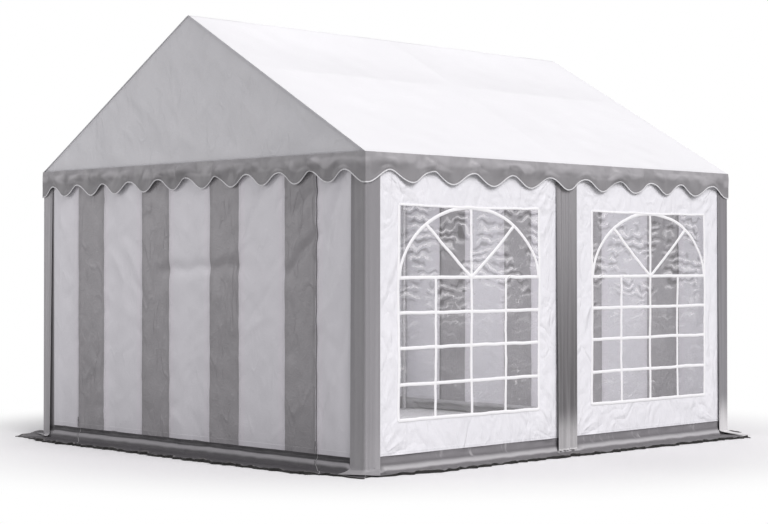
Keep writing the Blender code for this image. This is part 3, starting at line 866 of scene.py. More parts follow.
# %% [markdown]
# ## The striped walls
#
# Each gable wall hangs from the tie tube in three pieces: a wide door panel between two zips, and a fixed
# strip beside each zip. All three read one height field, so a fold that crosses a zip goes on beyond it.
# The field is quiet behind the sleeves and at the top, and liveliest low down, where the cloth hangs free.


# %% Striped gable walls
STRIPE_SEEDS = {"front": 31, "back": 41}


def pleat(x, z, start, end, width, depth):
    """One long fold between two points: exp(-d^2) across it, and gone beyond its ends."""
    (x0, z0), (x1, z1) = start, end
    length = math.hypot(x1 - x0, z1 - z0)
    along = ((x - x0) * (x1 - x0) + (z - z0) * (z1 - z0)) / length
    across = ((z - z0) * (x1 - x0) - (x - x0) * (z1 - z0)) / length + 0.010 * np.sin(along * 23.0)
    ends = smooth(-0.06, 0.05, along) * smooth(length + 0.06, length - 0.05, along)
    return depth * ends * np.exp(-((across / width) ** 2))


def striped_lift(x, z, seed):
    """How far a striped wall stands out: hanging folds, slack, slanting creases and three long pleats."""
    inside = smooth(0.0, 0.10, wall_x - 0.135 - np.abs(x)) * smooth(0.0, 0.20, wall_top - z)
    hang = ripples(x, 0.25 * z, seed, 0.30, 0.85, 0.0, 0.35) * 0.0024 * (1.25 - 0.4 * z)
    slack = ripples(x, z, seed + 1, 0.14, 0.45) * 0.0008
    diagonal = creases(x, z, seed + 2, 110, (-1.6, 0.2), (1.6, 1.9), 0.15, 0.026, math.radians(50), 0.35)
    opposite = creases(x, z, seed + 3, 60, (-1.6, 0.2), (1.6, 1.9), 0.13, 0.024, math.radians(-45), 0.30)
    billow = creases(x, z, seed + 4, 9, (1.38, 0.4), (1.62, 1.8), 0.30, 0.035, math.radians(74), 0.10)
    packed = pleat(x, z, (-0.36, 1.30), (0.56, 1.335), 0.044, -0.011)
    packed += pleat(x, z, (1.03, 1.28), (1.34, 1.55), 0.032, -0.014)
    packed += pleat(x, z, (1.08, 1.68), (1.34, 1.83), 0.036, -0.009)
    return inside * (hang + slack + 0.0038 * (diagonal + opposite) + 0.014 * billow + packed)


for end_name, end in ENDS.items():
    strips = {
        "wall_left": (-wall_x, -zip_x - 0.0003),
        "door_panel": (-zip_x, zip_x),
        "wall_right": (zip_x + 0.0003, wall_x),
    }
    for strip, (left, right) in strips.items():
        x, z = np.meshgrid(steps(left, right, 0.020), steps(wall_foot, wall_top, 0.020))
        lift = striped_lift(x, z, STRIPE_SEEDS[end_name])
        if strip == "door_panel":
            lift = lift + 0.0075 * smooth(zip_x - 0.045, zip_x, np.abs(x)) * smooth(2.04, 1.95, z)
        spots = np.stack([x, end * (wall_y + lift), z], axis=-1)
        name = f"{end_name}_{strip}"
        mesh = cloth_mesh(f"striped_{name}", spots, np.stack([x, z], axis=-1))
        panel = cloth_piece(f"striped_{name}", mesh, striped_cloth, [name])
        if strip == "door_panel":
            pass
        else:
            size = (right - left, wall_top - wall_foot)

# %% [markdown]
# ## The side walls and their windows
#
# Each bay of a side wall is a white panel with a window hole. Wall, film and window bars move together, so
# they share one function for the lift of the cloth and one for the droop of the window's top edge. The
# grid has lines exactly on the edges of the hole, and the cells inside the hole are left out.

# %% Side wall shape
BAY = wall_y / 2.0
side_foot = wall_foot + 0.007
FILM_THICKNESS = 0.0012
WINDOW_HALF = 0.70
WINDOW_FOOT = 0.325
WINDOW_TOP = 1.70
BAYS = [(*names, SIDES[names[0]], ENDS[names[1]]) for names in itertools.product(SIDES, ENDS)]


def droop(b, z):
    """How far the cloth is drawn up round the top of a window, more at its corners than at its middle."""
    return (0.019 + 0.008 * (b / WINDOW_HALF) ** 2) * np.exp(-(((z - WINDOW_TOP) / 0.20) ** 2))


def side_lift(b, z, seed):
    """How far a side wall stands out: slow ripples, and folds that fan from its corners."""
    inside = smooth(0.0, 0.10, BAY - 0.115 - np.abs(b)) * smooth(0.0, 0.12, wall_top - z)
    slow = ripples(b, z, seed, 0.45, 1.3) * 0.0022
    corners = [(-1, 0.10, 15), (1, 0.10, 13), (-1, 1.95, 17), (1, 1.95, 19)]
    fans = sum(
        drag_lines(b, z, way * 0.88, level, seed + number, 0.34, folds)
        for number, (way, level, folds) in enumerate(corners)
    )
    beside = np.maximum(np.abs(b) - WINDOW_HALF, np.maximum(WINDOW_FOOT - z, z - WINDOW_TOP))
    return inside * (slow + 0.0042 * fans * smooth(-0.02, 0.05, beside))


def grid_lines(*stops):
    """Places about 2 cm apart, with one exactly on every stop."""
    return np.unique(np.concatenate([steps(low, high, 0.02) for low, high in zip(stops, stops[1:])]))


def bay_seed(side, end):
    """The seed of a bay's folds, which its film and bars share."""
    return 100 + int(20 * side + 7 * end)


def bay_spot(side, middle, b, z, out):
    """A point on a side wall, from its place across the bay, its height and its lift."""
    return np.stack(np.broadcast_arrays(side * (wall_x + out), middle + b, z + droop(b, z)), axis=-1)


# %% Side walls
panes = {}
for side_name, end_name, side, end in BAYS:
    seed, middle = bay_seed(side, end), end * BAY
    b_marks = grid_lines(-BAY, -WINDOW_HALF, WINDOW_HALF, BAY)
    z_marks = grid_lines(side_foot, WINDOW_FOOT, WINDOW_TOP, wall_top)
    b, z = np.meshgrid(b_marks, z_marks)
    cell_b, cell_z = (b[:-1, :-1] + b[1:, 1:]) / 2.0, (z[:-1, :-1] + z[1:, 1:]) / 2.0
    hole = (np.abs(cell_b) < WINDOW_HALF) & (cell_z > WINDOW_FOOT) & (cell_z < WINDOW_TOP)
    spots = bay_spot(side, middle, b, z, side_lift(b, z, seed))
    edge = np.minimum(z - side_foot, wall_top - z)
    name = f"{side_name}_wall_{end_name}"
    flat = np.stack([middle + b, z], axis=-1)
    mesh = cloth_mesh(f"white_{name}", spots, flat, keep=~hole, hem=edge)
    wall = cloth_piece(f"white_{name}", mesh, side_white, [name])
    size = (2.0 * BAY, wall_top - wall_foot)

    b, z = np.meshgrid(steps(-WINDOW_HALF, WINDOW_HALF, 0.0175), steps(WINDOW_FOOT, WINDOW_TOP, 0.0175))
    from_edge = np.minimum(WINDOW_HALF - np.abs(b), np.minimum(z - WINDOW_FOOT, WINDOW_TOP - z))
    loose = smooth(0.0, 0.1, from_edge)
    wrinkle = ripples(b, z, seed + 11, 0.07, 0.22) * 0.0011 * loose * (0.4 + 0.6 * smooth(0.9, 1.3, z))
    spots = bay_spot(side, middle, b, z, side_lift(b, z, seed) + wrinkle - 0.0004)
    mesh = cloth_mesh(f"film_{name}", spots, np.stack([b + 3.0 * middle, z], axis=-1), FILM_THICKNESS)
    pane = cloth_piece(f"film_{name}", mesh, film, [name.replace("wall", "window")])
    panes[side_name, end_name] = pane, wall

# %% [markdown]
# ## Window bars
#
# The bars are white tape welded to the film: three uprights, four cross bars, a half ellipse that stands
# on the top bar, two spokes and a border over the seam. Each is a flat profile carried along a path in the
# wall, and reads the same lift as the film, so it stays on it.

# %% Window bars
BAR_HEIGHTS = (0.557, 0.795, 1.023, 1.254)
ARCH_HALF, ARCH_RISE = 0.688, 0.449
SPOKE_TURN = math.radians(49.5)
BAR_WIDTH, BORDER_WIDTH, TOP_BORDER_WIDTH, TAPE_THICKNESS = 0.0228, 0.024, 0.015, 0.0030


def bar_part(side, middle, seed, b, z, width, lift):
    """One tape on the film: its side direction is across its path, in the plane of the wall."""
    wobble = ripples(b, z, seed + 31, 0.12, 0.6) * 0.0012
    path = bay_spot(side, middle, b + wobble, z + wobble, side_lift(b, z, seed) + lift)
    ahead = np.gradient(path, axis=0)
    ahead[:, 0] = 0.0
    ahead /= np.linalg.norm(ahead, axis=1, keepdims=True)
    out = np.zeros_like(path) + (side, 0.0, 0.0)
    return path, np.cross(ahead, out), out, flat_profile(width, TAPE_THICKNESS), False


for side_name, end_name, side, end in BAYS:
    seed, middle = bay_seed(side, end), end * BAY
    parts = []
    for level in BAR_HEIGHTS:
        b = steps(-WINDOW_HALF, WINDOW_HALF, 0.04)
        parts.append(bar_part(side, middle, seed, b, level + 0.0 * b, BAR_WIDTH, 0.0))
    for across, top in ((-0.35, BAR_HEIGHTS[-1]), (0.0, WINDOW_TOP), (0.35, BAR_HEIGHTS[-1])):
        z = steps(WINDOW_FOOT, top, 0.04)
        parts.append(bar_part(side, middle, seed, across + 0.0 * z, z, BAR_WIDTH, 0.0003))
    turn = np.linspace(0.0, math.pi, 49)
    pinch = 1.0 - 0.013 * np.sin(2.0 * turn) ** 2
    b, z = pinch * ARCH_HALF * np.cos(turn), BAR_HEIGHTS[-1] + pinch * ARCH_RISE * np.sin(turn)
    parts.append(bar_part(side, middle, seed, b, z, BAR_WIDTH, 0.0006))
    for way in (-1.0, 1.0):
        reach = np.linspace(0.0, 1.0, 15)
        b = way * ARCH_HALF * math.cos(SPOKE_TURN) * reach
        z = BAR_HEIGHTS[-1] + ARCH_RISE * math.sin(SPOKE_TURN) * reach
        parts.append(bar_part(side, middle, seed, b, z, BAR_WIDTH, 0.0009))
    for b_ends, z_ends, width in (
        ((-1, 1), (WINDOW_FOOT, WINDOW_FOOT), BORDER_WIDTH),
        ((-1, 1), (WINDOW_TOP + 0.005, WINDOW_TOP + 0.005), TOP_BORDER_WIDTH),
        ((-1, -1), (WINDOW_FOOT, WINDOW_TOP), BORDER_WIDTH),
        ((1, 1), (WINDOW_FOOT, WINDOW_TOP), BORDER_WIDTH),
    ):
        b, z = WINDOW_HALF * np.linspace(*b_ends, 36), np.linspace(*z_ends, 36)
        parts.append(bar_part(side, middle, seed, b, z, width, 0.0012))
    name = f"window_bars_{side_name}_{end_name}"
    bars = cloth_piece(name, turned_outward(sweep_mesh(name, parts)), white_tape)
    pane, wall = panes[side_name, end_name]
    size = (2.0 * WINDOW_HALF, WINDOW_TOP - WINDOW_FOOT)

# %% [markdown]
# ## The valance
#
# A grey strip hangs round the eaves and hides the joint of roof and walls. Its lower edge is cut in waves,
# with a lobe on every corner. The strip is one grid that closes on itself: its columns go round the tent
# and its rows go down. Below the eave it bulges like a soft roll, unevenly, and its lower edge stands about
# two centimetres off the wall.

# %% Valance
CORNER_ROUNDING = 0.018
VALANCE_OUT = 0.012
VALANCE_DROP, SCALLOP, CORNER_DROP = 0.109, 0.080, 0.008
LOBES = (11, 10, 11, 10)


def round_the_tent(out, marks):
    """Plan points and outward directions round the walls. marks run from 0 to 4, one unit to a side."""
    half = np.array([wall_x, wall_y])
    starts = np.array([(-1, -1), (1, -1), (1, 1), (-1, 1)])
    headings = np.array([(1, 0), (0, 1), (-1, 0), (0, -1)])
    outward = np.array([(0, -1), (1, 0), (0, 1), (-1, 0)])
    side = np.floor(marks).astype(int) % 4
    share = (marks - np.floor(marks))[..., None]
    length = np.where(side % 2, 2.0 * wall_y, 2.0 * wall_x)[..., None]
    plan = starts[side] * half + share * headings[side] * length
    along = share * length
    rest = length - along
    before, after = outward[side - 1], outward[(side + 1) % 4]
    blend_in = 0.5 * smooth(CORNER_ROUNDING, 0.0, along)
    blend_out = 0.5 * smooth(CORNER_ROUNDING, 0.0, rest)
    way = outward[side] * (1.0 - blend_in - blend_out) + before * blend_in + after * blend_out
    corner = (np.minimum(along, rest) < CORNER_ROUNDING) * 1.0
    stretch = 1.0 + corner * (np.maximum(blend_in, blend_out) * 2.0)
    return plan + out[..., None] * way * stretch, way


def valance_marks(step):
    """Places round the tent, with one exactly on every corner."""
    counts = [round(2.0 * wall_x / step), round(2.0 * wall_y / step)] * 2
    return np.concatenate([side + np.arange(count) / count for side, count in enumerate(counts)])


def valance_grid(marks, fall):
    """The strip's points: out and down grow with fall, which runs from 0 at the eave to 1 at the edge."""
    side = np.floor(marks).astype(int) % 4
    share = marks - np.floor(marks)
    to_corner = np.minimum(share, 1.0 - share)
    early = smooth(0.0, 0.05, share) * smooth(0.45, 0.25, share)
    late = smooth(1.0, 0.95, share) * np.exp(-(((share - 0.88) / 0.07) ** 2))
    shifted = np.where(side % 2, 0.13 * late, 0.07 * early)
    wave = np.cos(2.0 * math.pi * (np.array(LOBES)[side] * share + shifted))
    drop = VALANCE_DROP + SCALLOP * (0.5 + 0.5 * wave) + CORNER_DROP * smooth(0.06, 0.02, to_corner)
    drop = drop + np.where(side % 2, 0.0, 0.009 * early)
    ring = 2.0 * math.pi * marks / 4.0
    round_x, round_y = np.cos(ring), np.sin(ring)
    uneven = ripples(round_x, round_y, 51, 0.05, 0.20)
    depth = fall * drop / LOBE_TOP
    roll = depth * np.exp(0.5 - 0.5 * depth**2)
    dimples = ripples(round_x * 2.3, round_y * 2.3 + 0.15 * fall, 53, 0.10, 0.30) * np.sin(math.pi * fall)
    gathers = wave * smooth(0.3, 0.9, fall)
    belly = (0.016 + 0.012 * uneven) * roll + 0.0060 * dimples + 0.0015 * gathers
    edge = np.where(side % 2, 0.007, 0.011) + 0.005 * ripples(round_x, round_y, 52, 0.06, 0.25)
    pulled = smooth(0.0, 0.045, to_corner)
    lift = np.clip(belly, 0.0, None) * (0.12 + 0.88 * pulled)
    lift = lift + np.clip(edge, 0.002, None) * fall * (0.15 + 0.85 * pulled)
    plan, _ = round_the_tent(VALANCE_OUT + lift, marks + 0.0 * fall)
    height = eave_z - fall * drop
    return np.concatenate([plan, height[..., None]], axis=-1), drop


marks = valance_marks(0.016)
rows = np.linspace(0.0, 1.0, 12)
mark, fall = np.meshgrid(marks, rows)
spots, drop = valance_grid(mark, fall)
around = np.append(marks, 4.0) * (wall_x + wall_y)
u, v = np.meshgrid(around, rows)
flat = np.stack([u, -0.19 * v], axis=-1)
valance_mesh = cloth_mesh("scalloped_valance", spots, flat, wraps=True, hem=(1.0 - fall) * drop)
valance = cloth_piece("scalloped_valance", valance_mesh, valance_grey, ["valance"])

# %% [markdown]
# ## Piping
#
# White binding is folded over the scalloped edge. It is a flat rounded profile carried along that edge, so
# it rises and falls and billows with the cloth.

# %% Piping
fine = valance_marks(0.010)
path, _ = valance_grid(fine[None], np.ones((1, 1)))
path = path[0]
ahead = np.roll(path, -1, axis=0) - np.roll(path, 1, axis=0)
ahead /= np.linalg.norm(ahead, axis=1, keepdims=True)
_, way = round_the_tent(np.zeros(len(fine)), fine)
out = np.concatenate([way, np.zeros((len(fine), 1))], axis=1)
out /= np.linalg.norm(out, axis=1, keepdims=True)
side = np.cross(ahead, out)
side /= np.linalg.norm(side, axis=1, keepdims=True)
binding = flat_profile(0.0086, 0.0036)
piping_mesh = sweep_mesh("valance_piping", [(path - 0.001 * out, side, out, binding, True)])
piping = cloth_piece("valance_piping", turned_outward(piping_mesh), piping_white)

# %% [markdown]
# ## Skirts
#
# Below the wall a grey skirt turns outward, rolls over in a soft fold and lies on the floor as a flap. Its
# profile is a smoothed chain of points, carried along the wall. How far the flap reaches changes along the
# wall, its torn edge curls up a centimetre, and behind sleeves and covers the fold is pressed flat. At the
# corners of the front the ends of two flaps lean together, so that there is no gap between them.

# %% Skirts
GABLE_FOLD = [
    *((-0.004, 0.103), (-0.012, 0.092), (-0.014, 0.080), (-0.012, 0.070), (0.004, 0.063), (0.020, 0.057)),
    *((0.032, 0.045), (0.036, 0.031), (0.037, 0.018), (0.045, 0.009), (0.058, 0.006), (0.075, 0.005)),
]
SIDE_FOLD = [
    *((-0.005, 0.110), (-0.008, 0.090), (-0.006, 0.070), (0.004, 0.055), (0.022, 0.047), (0.038, 0.036)),
    *((0.045, 0.022), (0.050, 0.012), (0.060, 0.007), (0.078, 0.005)),
]
FRONT_REACH = (-1.80, 0.160), (-1.40, 0.262), (-0.60, 0.250), (0.30, 0.285), (1.45, 0.270), (1.80, 0.150)
RIGHT_REACH = (-2.0, 0.123), (-1.60, 0.235), (-0.80, 0.228), (0.0, 0.255), (1.2, 0.290), (2.0, 0.345)
BACK_REACH = (-1.80, 0.150), (-1.40, 0.235), (0.0, 0.245), (1.40, 0.235), (1.80, 0.150)
LEFT_REACH = (-2.0, 0.150), (-1.50, 0.240), (0.0, 0.250), (1.50, 0.290)
LEFT_REACH += (1.75, 0.345), (1.90, 0.200), (2.0, 0.120)
FOLD_ROWS, FLAP_ROWS = 19, 8


def foot_profile(chain, count):
    """A chain of points made even and smooth: distance out from the wall's face, and height."""
    chain = np.array(chain)
    run = np.concatenate([[0.0], np.linalg.norm(np.diff(chain, axis=0), axis=1).cumsum()])
    even = np.linspace(0.0, run[-1], count)
    line = np.stack([np.interp(even, run, chain[:, 0]), np.interp(even, run, chain[:, 1])], axis=-1)
    for _ in range(2):
        line[1:-1] = (line[:-2] + 2.0 * line[1:-1] + line[2:]) / 4.0
    return line


def skirt_spots(half, reach_chain, ends, fold, seed, has_cover):
    """Rows of a skirt down from the wall: run along the wall, distance out from its face, and height."""
    along = steps(0.003 - half, half - 0.003, 0.014)
    to_corner = half - np.abs(along)
    free = smooth(0.118, 0.152, to_corner)
    if has_cover:
        free = free * smooth(0.098, 0.155, np.abs(along))
    reach = np.interp(along, *zip(*reach_chain)) + ripples(along, 0.0 * along, seed, 0.05, 0.35) * 0.010
    share = np.linspace(0.0, 1.0, FLAP_ROWS + 1)[1:, None]
    pressed = fold[:, :1] * (0.20 + 0.80 * free)
    out = np.vstack([pressed, pressed[-1] + share * (reach - pressed[-1]), reach[None] + 0.001])
    up = np.concatenate([fold[:, 1], np.full(FLAP_ROWS, 0.005), [0.001]])[:, None] + 0.0 * along
    run = along + 0.0 * out
    on_roll = smooth(0.094, 0.07, up) * smooth(0.11, 0.04, out) * free
    out = out + on_roll * ripples(run, out * 2.0, seed + 10, 0.16, 0.9, 0.0, 0.5) * 0.0022
    up = up + on_roll * ripples(run, 0.0 * run, seed + 15, 0.25, 1.2) * 0.0025
    waves = np.abs(ripples(run, out, seed + 20, 0.16, 0.7, 0.0, 0.6)) * 0.0025
    torn = 0.0115 + 0.0040 * ripples(run, 0.0 * run, seed + 25, 0.06, 0.35)
    curl = torn * smooth(0.055, 0.008, reach - out)
    up[:-1] += ((waves + curl) * smooth(0.07, 0.13, out) * smooth(0.02, 0.20, to_corner))[:-1]
    slant = np.where(along < 0.0, ends[0], ends[1]) * smooth(0.30, 0.0, to_corner) ** 2
    run = run + np.sign(along) * np.clip(out, 0.0, None) * slant
    return run, out, up


SKIRTS = {
    "skirt_front": (wall_x, wall_y, -90.0, FRONT_REACH, (0.76, 1.0), GABLE_FOLD, gable_skirt),
    "skirt_back": (wall_x, wall_y, 90.0, BACK_REACH, (0.3, 0.3), GABLE_FOLD, gable_skirt),
    "skirt_left": (wall_y, wall_x, 180.0, LEFT_REACH, (0.3, 1.3), SIDE_FOLD, side_skirt),
    "skirt_right": (wall_y, wall_x, 0.0, RIGHT_REACH, (1.0, -0.5), SIDE_FOLD, side_skirt),
}
for number, (name, (half, face, turn, chain, ends, profile, finish)) in enumerate(SKIRTS.items()):
    fold = foot_profile(profile, FOLD_ROWS)
    run, out, up = skirt_spots(half, chain, ends, fold, 60 + number, profile is SIDE_FOLD)
    c, s = math.cos(math.radians(turn)), math.sin(math.radians(turn))
    spots = np.stack([c * (face + out) - s * run, s * (face + out) + c * run, up], axis=-1)
    lengths = np.hypot(np.diff(out, axis=0), np.diff(up, axis=0)).cumsum(axis=0)
    lengths = np.vstack([np.zeros((1, out.shape[1])), lengths])
    flat = np.stack([run, -lengths], axis=-1)
    mesh = cloth_mesh(f"{name}_cloth", spots, flat, hem=lengths[-1] - lengths)
    skirt = cloth_piece(f"{name}_cloth", mesh, finish, [name])
    where = name.removeprefix("skirt_")
    posts = [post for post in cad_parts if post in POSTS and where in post]
    2.0 * half

# %% [markdown]
# ## Sleeves and post covers
#
# A grey sleeve wraps each corner post, and a grey strip covers each middle post and the joint of the walls.
# Across, a sleeve is a rounded corner with two straight legs. Its free edges stand off the wall, which is why
# a dark line shows beside them; on the gable walls that line is deepened by painted shade in the wall's
# cloth. It hangs straight down, and its last few centimetres lie flat on the floor in a toe. The strip at the
# middle post simply hangs, and ends just above the flap.

# %% Folds of a hanging strip
SLEEVE_LEG, SLEEVE_TOP, SLEEVE_ROUNDING = 0.127, 2.040, 0.008
FOOT_START, FOOT_END, TOE_LENGTH = 0.036, 0.014, 0.11
SLEEVES = {
    ("front", "right"): (sleeve_near, ((-0.078, 0.172), (0.165, 0.030)), ((0.0, 0.0), (0.0, 0.10))),
    ("front", "left"): (sleeve_left, ((-0.075, 0.045), (0.200, -0.060)), ((0.12, 0.20), (0.05, 0.10))),
    ("back", "right"): (sleeve_back, ((-0.070, 0.100), (0.300, -0.100)), ((0.10, 0.20), (0.01, 0.05))),
    ("back", "left"): (sleeve_back, ((-0.070, 0.090), (0.160, -0.050)), ((0.10, 0.20), (0.05, 0.10))),
}
COVER_HALF = 0.115


def cloth_folds(across, up, seed, height):
    """Upright folds that wander a little."""
    return ripples(across, 0.06 * up, seed, 0.035, 0.13, 0.0, 0.25, 12) * height


# %% Corner sleeves
def sleeve_plan(across, lift):
    """Plan of a sleeve in the corner's own axes: outward along x, and outward along y."""
    turn = np.clip(across / SLEEVE_ROUNDING, -math.pi / 4.0, math.pi / 4.0)
    rest = np.clip(np.abs(across) - SLEEVE_ROUNDING * math.pi / 4.0, 0.0, None)
    angle = math.pi / 4.0 + turn
    out = SLEEVE_ROUNDING + lift
    a = out * np.cos(angle) - SLEEVE_ROUNDING - rest * (across > 0)
    b = out * np.sin(angle) - SLEEVE_ROUNDING - rest * (across < 0)
    return a, b


def sleeve_spots(seed, toe, narrower):
    """Rows of a sleeve: place across it, height, how far the toe has turned out, and its plan.

    toe holds its tip on the gable and on the side, in plan from the corner. narrower holds how much less wide
    each of the two legs is, as a share of its width at the top and what is added to it at the foot.
    """
    girth = SLEEVE_LEG - SLEEVE_ROUNDING + SLEEVE_ROUNDING * math.pi / 4.0
    sweep = np.linspace(0.0, 0.5 * math.pi, 11)[1:]
    hanging = steps(SLEEVE_TOP, FOOT_START, 0.022)
    fall = np.concatenate([hanging, FOOT_END + (FOOT_START - FOOT_END) * (1.0 - np.sin(sweep))])
    turned = np.concatenate([0.0 * hanging, 1.0 - np.cos(sweep)])
    side_columns = np.linspace(0.0, girth, 13)
    columns = np.unique(np.concatenate([-side_columns, side_columns, np.linspace(-0.010, 0.010, 9)]))
    across, up = np.meshgrid(columns, fall)
    turned = turned[:, None] + 0.0 * across
    edge = smooth(0.045, 0.0, girth - np.abs(across))
    corner = smooth(0.042, 0.0, np.abs(across))
    low = smooth(1.0, 0.35, up)
    lift = 0.0046 + 0.0050 * corner + 0.0085 * edge * smooth(2.04, 1.6, up) + 0.004 * low
    calm = smooth(SLEEVE_TOP, 1.75, up) * (1.0 - corner)
    sway = ripples(0.0 * up, up, seed + 1, 0.25, 0.9) * 0.0030
    lift = np.maximum(lift + calm * (cloth_folds(across, up, seed, 0.0013) + sway), 0.0032)
    start, more = (np.where(across > 0.0, *pair) for pair in zip(*narrower))
    leg = across * (1.0 - (start + more * smooth(1.5, 0.3, up)) * smooth(0.0, 0.03, np.abs(across)))
    a, b = sleeve_plan(leg, lift)
    on_gable, on_side = toe
    share = 0.5 + 0.5 * across / girth
    a = a + turned * (on_side[0] + share * (on_gable[0] - on_side[0]) - a)
    b = b + turned * (on_side[1] + share * (on_gable[1] - on_side[1]) - b)
    return across, up, turned, a, b


for (end_name, side_name), (finish, toe, narrower) in SLEEVES.items():
    end, side = ENDS[end_name], SIDES[side_name]
    across, up, turned, a, b = sleeve_spots(200 + int(10 * end + 3 * side), toe, narrower)
    spots = np.stack([side * (wall_x + a), end * (wall_y + b), up], axis=-1)
    down = np.hypot(np.diff(up, axis=0), TOE_LENGTH * np.diff(turned, axis=0)).cumsum(axis=0)
    drop = np.vstack([0.0 * up[:1], down])
    name = f"corner_sleeve_{end_name}_{side_name}"
    girth = across.max()
    flat = np.stack([across, -drop], axis=-1)
    mesh = cloth_mesh(f"{name}_cloth", spots, flat, hem=girth - np.abs(across))
    sleeve = cloth_piece(f"{name}_cloth", mesh, finish, [name])
    size = (2.0 * girth, drop.max())

# %% Post covers
for side_name, side in SIDES.items():
    fall = np.concatenate([steps(SLEEVE_TOP, 0.17, 0.022), np.linspace(0.16, 0.017, 12)])
    across, up = np.meshgrid(steps(-COVER_HALF, COVER_HALF, 0.006), fall)
    edge = smooth(0.05, 0.0, COVER_HALF - np.abs(across))
    free = smooth(0.9, 0.05, up)
    folds = cloth_folds(across, up, 240 + int(side), 0.0034) * (1.0 + free) * smooth(SLEEVE_TOP, 1.75, up)
    lift = 0.0075 + 0.006 * edge * smooth(2.04, 1.6, up) + 0.012 * free + folds
    spots = np.stack([side * (wall_x + np.maximum(lift, 0.0035)), across * (1.0 - 0.05 * free), up], axis=-1)
    drop = SLEEVE_TOP - up
    name = f"post_cover_{side_name}"
    flat = np.stack([across, -drop], axis=-1)
    mesh = cloth_mesh(f"{name}_cloth", spots, flat, hem=COVER_HALF - np.abs(across))
    cover = cloth_piece(f"{name}_cloth", mesh, cover_grey, [name])

# %% [markdown]
# ## Zips
#
# A zip joins the door panel to each fixed strip. It is a narrow dark tape with a raised row of teeth down
# its middle, and a slider with a pull tab, which is at the foot because the door is closed.

# %% Zips
SLIDER_Z = 0.150


def upright_path(x, y, low, high, count):
    """Points straight up from low to high."""
    return np.stack(np.broadcast_arrays(x, y, np.linspace(low, high, count)), axis=-1)


for end_name, end in ENDS.items():
    for side_name, side in SIDES.items():
        z = steps(wall_foot + 0.004, wall_top - 0.06, 0.03)
        x = np.full_like(z, side * zip_x)
        face = end * (wall_y + striped_lift(x, z, STRIPE_SEEDS[end_name]))
        path = np.stack([x, face, z], axis=-1)
        low = np.interp(SLIDER_Z, z, face)
        slider = upright_path(side * zip_x, low + end * 0.006, SLIDER_Z, SLIDER_Z + 0.034, 3)
        tab = upright_path(side * zip_x, low + end * 0.012, SLIDER_Z - 0.042, SLIDER_Z + 0.014, 4)
        parts = []
        for line, size, lift in (
            (path, (0.012, 0.0054), 0.0),
            (path, (0.0045, 0.0045), 0.0020),
            (slider, (0.013, 0.009), 0.0),
            (tab, (0.007, 0.0022), 0.0),
        ):
            across = np.zeros_like(line) + (1.0, 0.0, 0.0)
            out = np.zeros_like(line) + (0.0, end, 0.0)
            parts.append((line + lift * out, across, out, flat_profile(*size), False))
        name = f"zip_{end_name}_{side_name}"
        cloth_piece(name, turned_outward(sweep_mesh(name, parts)), zip_tape)
    size = (2.0 * zip_x, wall_top - wall_foot)

# %% [markdown]
# ## Floor, sky and light
#
# The studio is plain. The floor is pale near the tent and runs into the white of the sky further out, so no
# horizon shows. The main light comes high from the right, so the side wall and the roof are bright and the
# gable stays in open shade. A soft box on the left grazes the gable and picks out its folds, and a fill
# keeps the far sides readable. Inside, a soft lamp stands for the daylight that white cloth lets through.

# %% Floor
FLOOR_NEAR, FLOOR_FAR = 2.4, 4.2

floor_finish = Finish("studio_floor")
place = floor_finish.node("ShaderNodeTexCoord", output="Object")
distance = floor_finish.node("ShaderNodeVectorMath", {"operation": "LENGTH"}, {0: place}, output="Value")
seen = floor_finish.node("ShaderNodeLightPath", output="Is Camera Ray")
white = floor_finish.node("ShaderNodeEmission", inputs={"Color": (1.0, 1.0, 1.0, 1.0)})
pale = floor_finish.blend(seen, (0.48, 0.48, 0.475, 1.0), (0.86, 0.855, 0.86, 1.0))
floor_finish.set(Base_Color=pale, Roughness=0.9)
lit = Wire(floor_finish, floor_finish.shader.outputs["BSDF"])
share = distance.rise(FLOOR_NEAR, FLOOR_FAR) * seen
mixed = floor_finish.node("ShaderNodeMixShader", inputs={0: share, 1: lit, 2: white})
floor_finish.feed(floor_finish.tree.nodes["Material Output"].inputs["Surface"], mixed)
floor_mesh = bpy.data.meshes.new("studio_floor")
floor_mesh.from_pydata([(-150, -150, 0), (150, -150, 0), (150, 150, 0), (-150, 150, 0)], [], [(0, 1, 2, 3)])
floor_mesh.materials.append(floor_finish.material)
floor = bpy.data.objects.new("studio_floor", floor_mesh)
bpy.context.scene.collection.objects.link(floor)
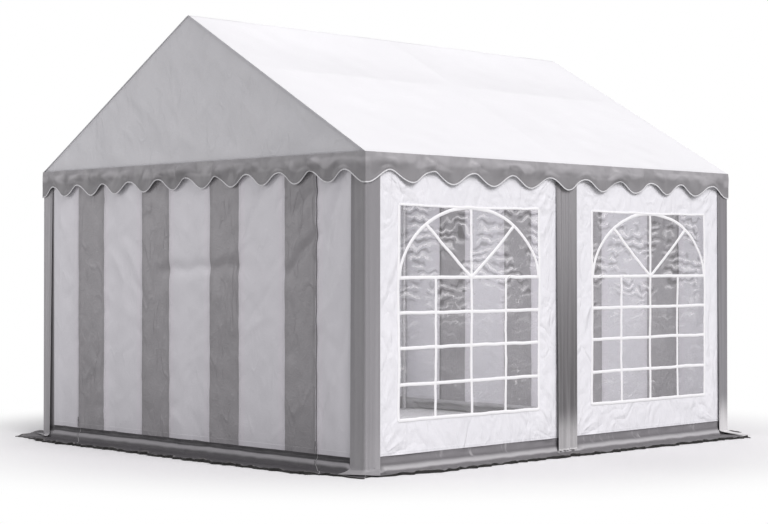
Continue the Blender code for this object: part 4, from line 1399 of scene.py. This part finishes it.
floor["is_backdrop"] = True


# %% Lights
def add_light(name, kind, place, towards, energy, colour, **settings):
    """A light at a place, which shines towards a point."""
    data = bpy.data.lights.new(name, kind)
    data.energy, data.color = energy, colour
    for setting, value in settings.items():
        setattr(data, setting, value)
    lamp = bpy.data.objects.new(name, data)
    lamp.location = place
    x, y, z = (a - b for a, b in zip(place, towards))
    lamp.rotation_euler = (math.atan2(math.hypot(x, y), z), 0.0, math.atan2(x, -y))
    lamp.visible_camera = False
    bpy.context.scene.collection.objects.link(lamp)
    return lamp


KEY_STRENGTH, BOX_STRENGTH, SKY_STRENGTH = 2.52, 171.0, 0.375
INSIDE_STRENGTH, FILL_STRENGTH = 46.0, 150.0
WARM, COOL = (1.0, 0.982, 0.998), (0.985, 0.974, 1.0)

add_light("key", "SUN", (7.6, -0.6, 6.4), (0.0, 0.0, 0.0), KEY_STRENGTH, WARM, angle=math.radians(38))
add_light("soft_box", "AREA", (-8.0, -8.5, 3.2), (0.0, -2.0, 1.4), BOX_STRENGTH, WARM, size=4.5)
add_light("back_fill", "AREA", (-6.5, 8.0, 3.4), (0.0, 0.5, 1.4), FILL_STRENGTH, WARM, size=4.0)
add_light("inside", "POINT", (0.0, 0.0, 1.25), (0.0, 0.0, 0.0), INSIDE_STRENGTH, COOL, shadow_soft_size=0.5)

# %% Sky
world = bpy.data.worlds.new("studio")
bpy.context.scene.world = world
world.use_nodes = True
sky = world.node_tree
backdrop = sky.nodes["Background"]
backdrop.inputs["Color"].default_value = (1.0, 1.0, 1.0, 1.0)
backdrop.inputs["Strength"].default_value = 1.0
ambient = sky.nodes.new("ShaderNodeBackground")
ambient.inputs["Color"].default_value = (*COOL, 1.0)
ambient.inputs["Strength"].default_value = SKY_STRENGTH
ray = sky.nodes.new("ShaderNodeLightPath")
choose = sky.nodes.new("ShaderNodeMixShader")
sky.links.new(ray.outputs["Is Camera Ray"], choose.inputs["Fac"])
sky.links.new(ambient.outputs["Background"], choose.inputs[1])
sky.links.new(backdrop.outputs["Background"], choose.inputs[2])
sky.links.new(choose.outputs["Shader"], sky.nodes["World Output"].inputs["Surface"])
bpy.context.scene.view_settings.view_transform = "Standard"

# %% [markdown]
# ## The size of the dressed tent
#
# The dressed tent may stand a little proud of the CAD box, where its cloth hangs outside it. The box round it
# is printed.

# %% Size
low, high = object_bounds()
print("visual box", [round(x, 3) for x in (*low, *high)])
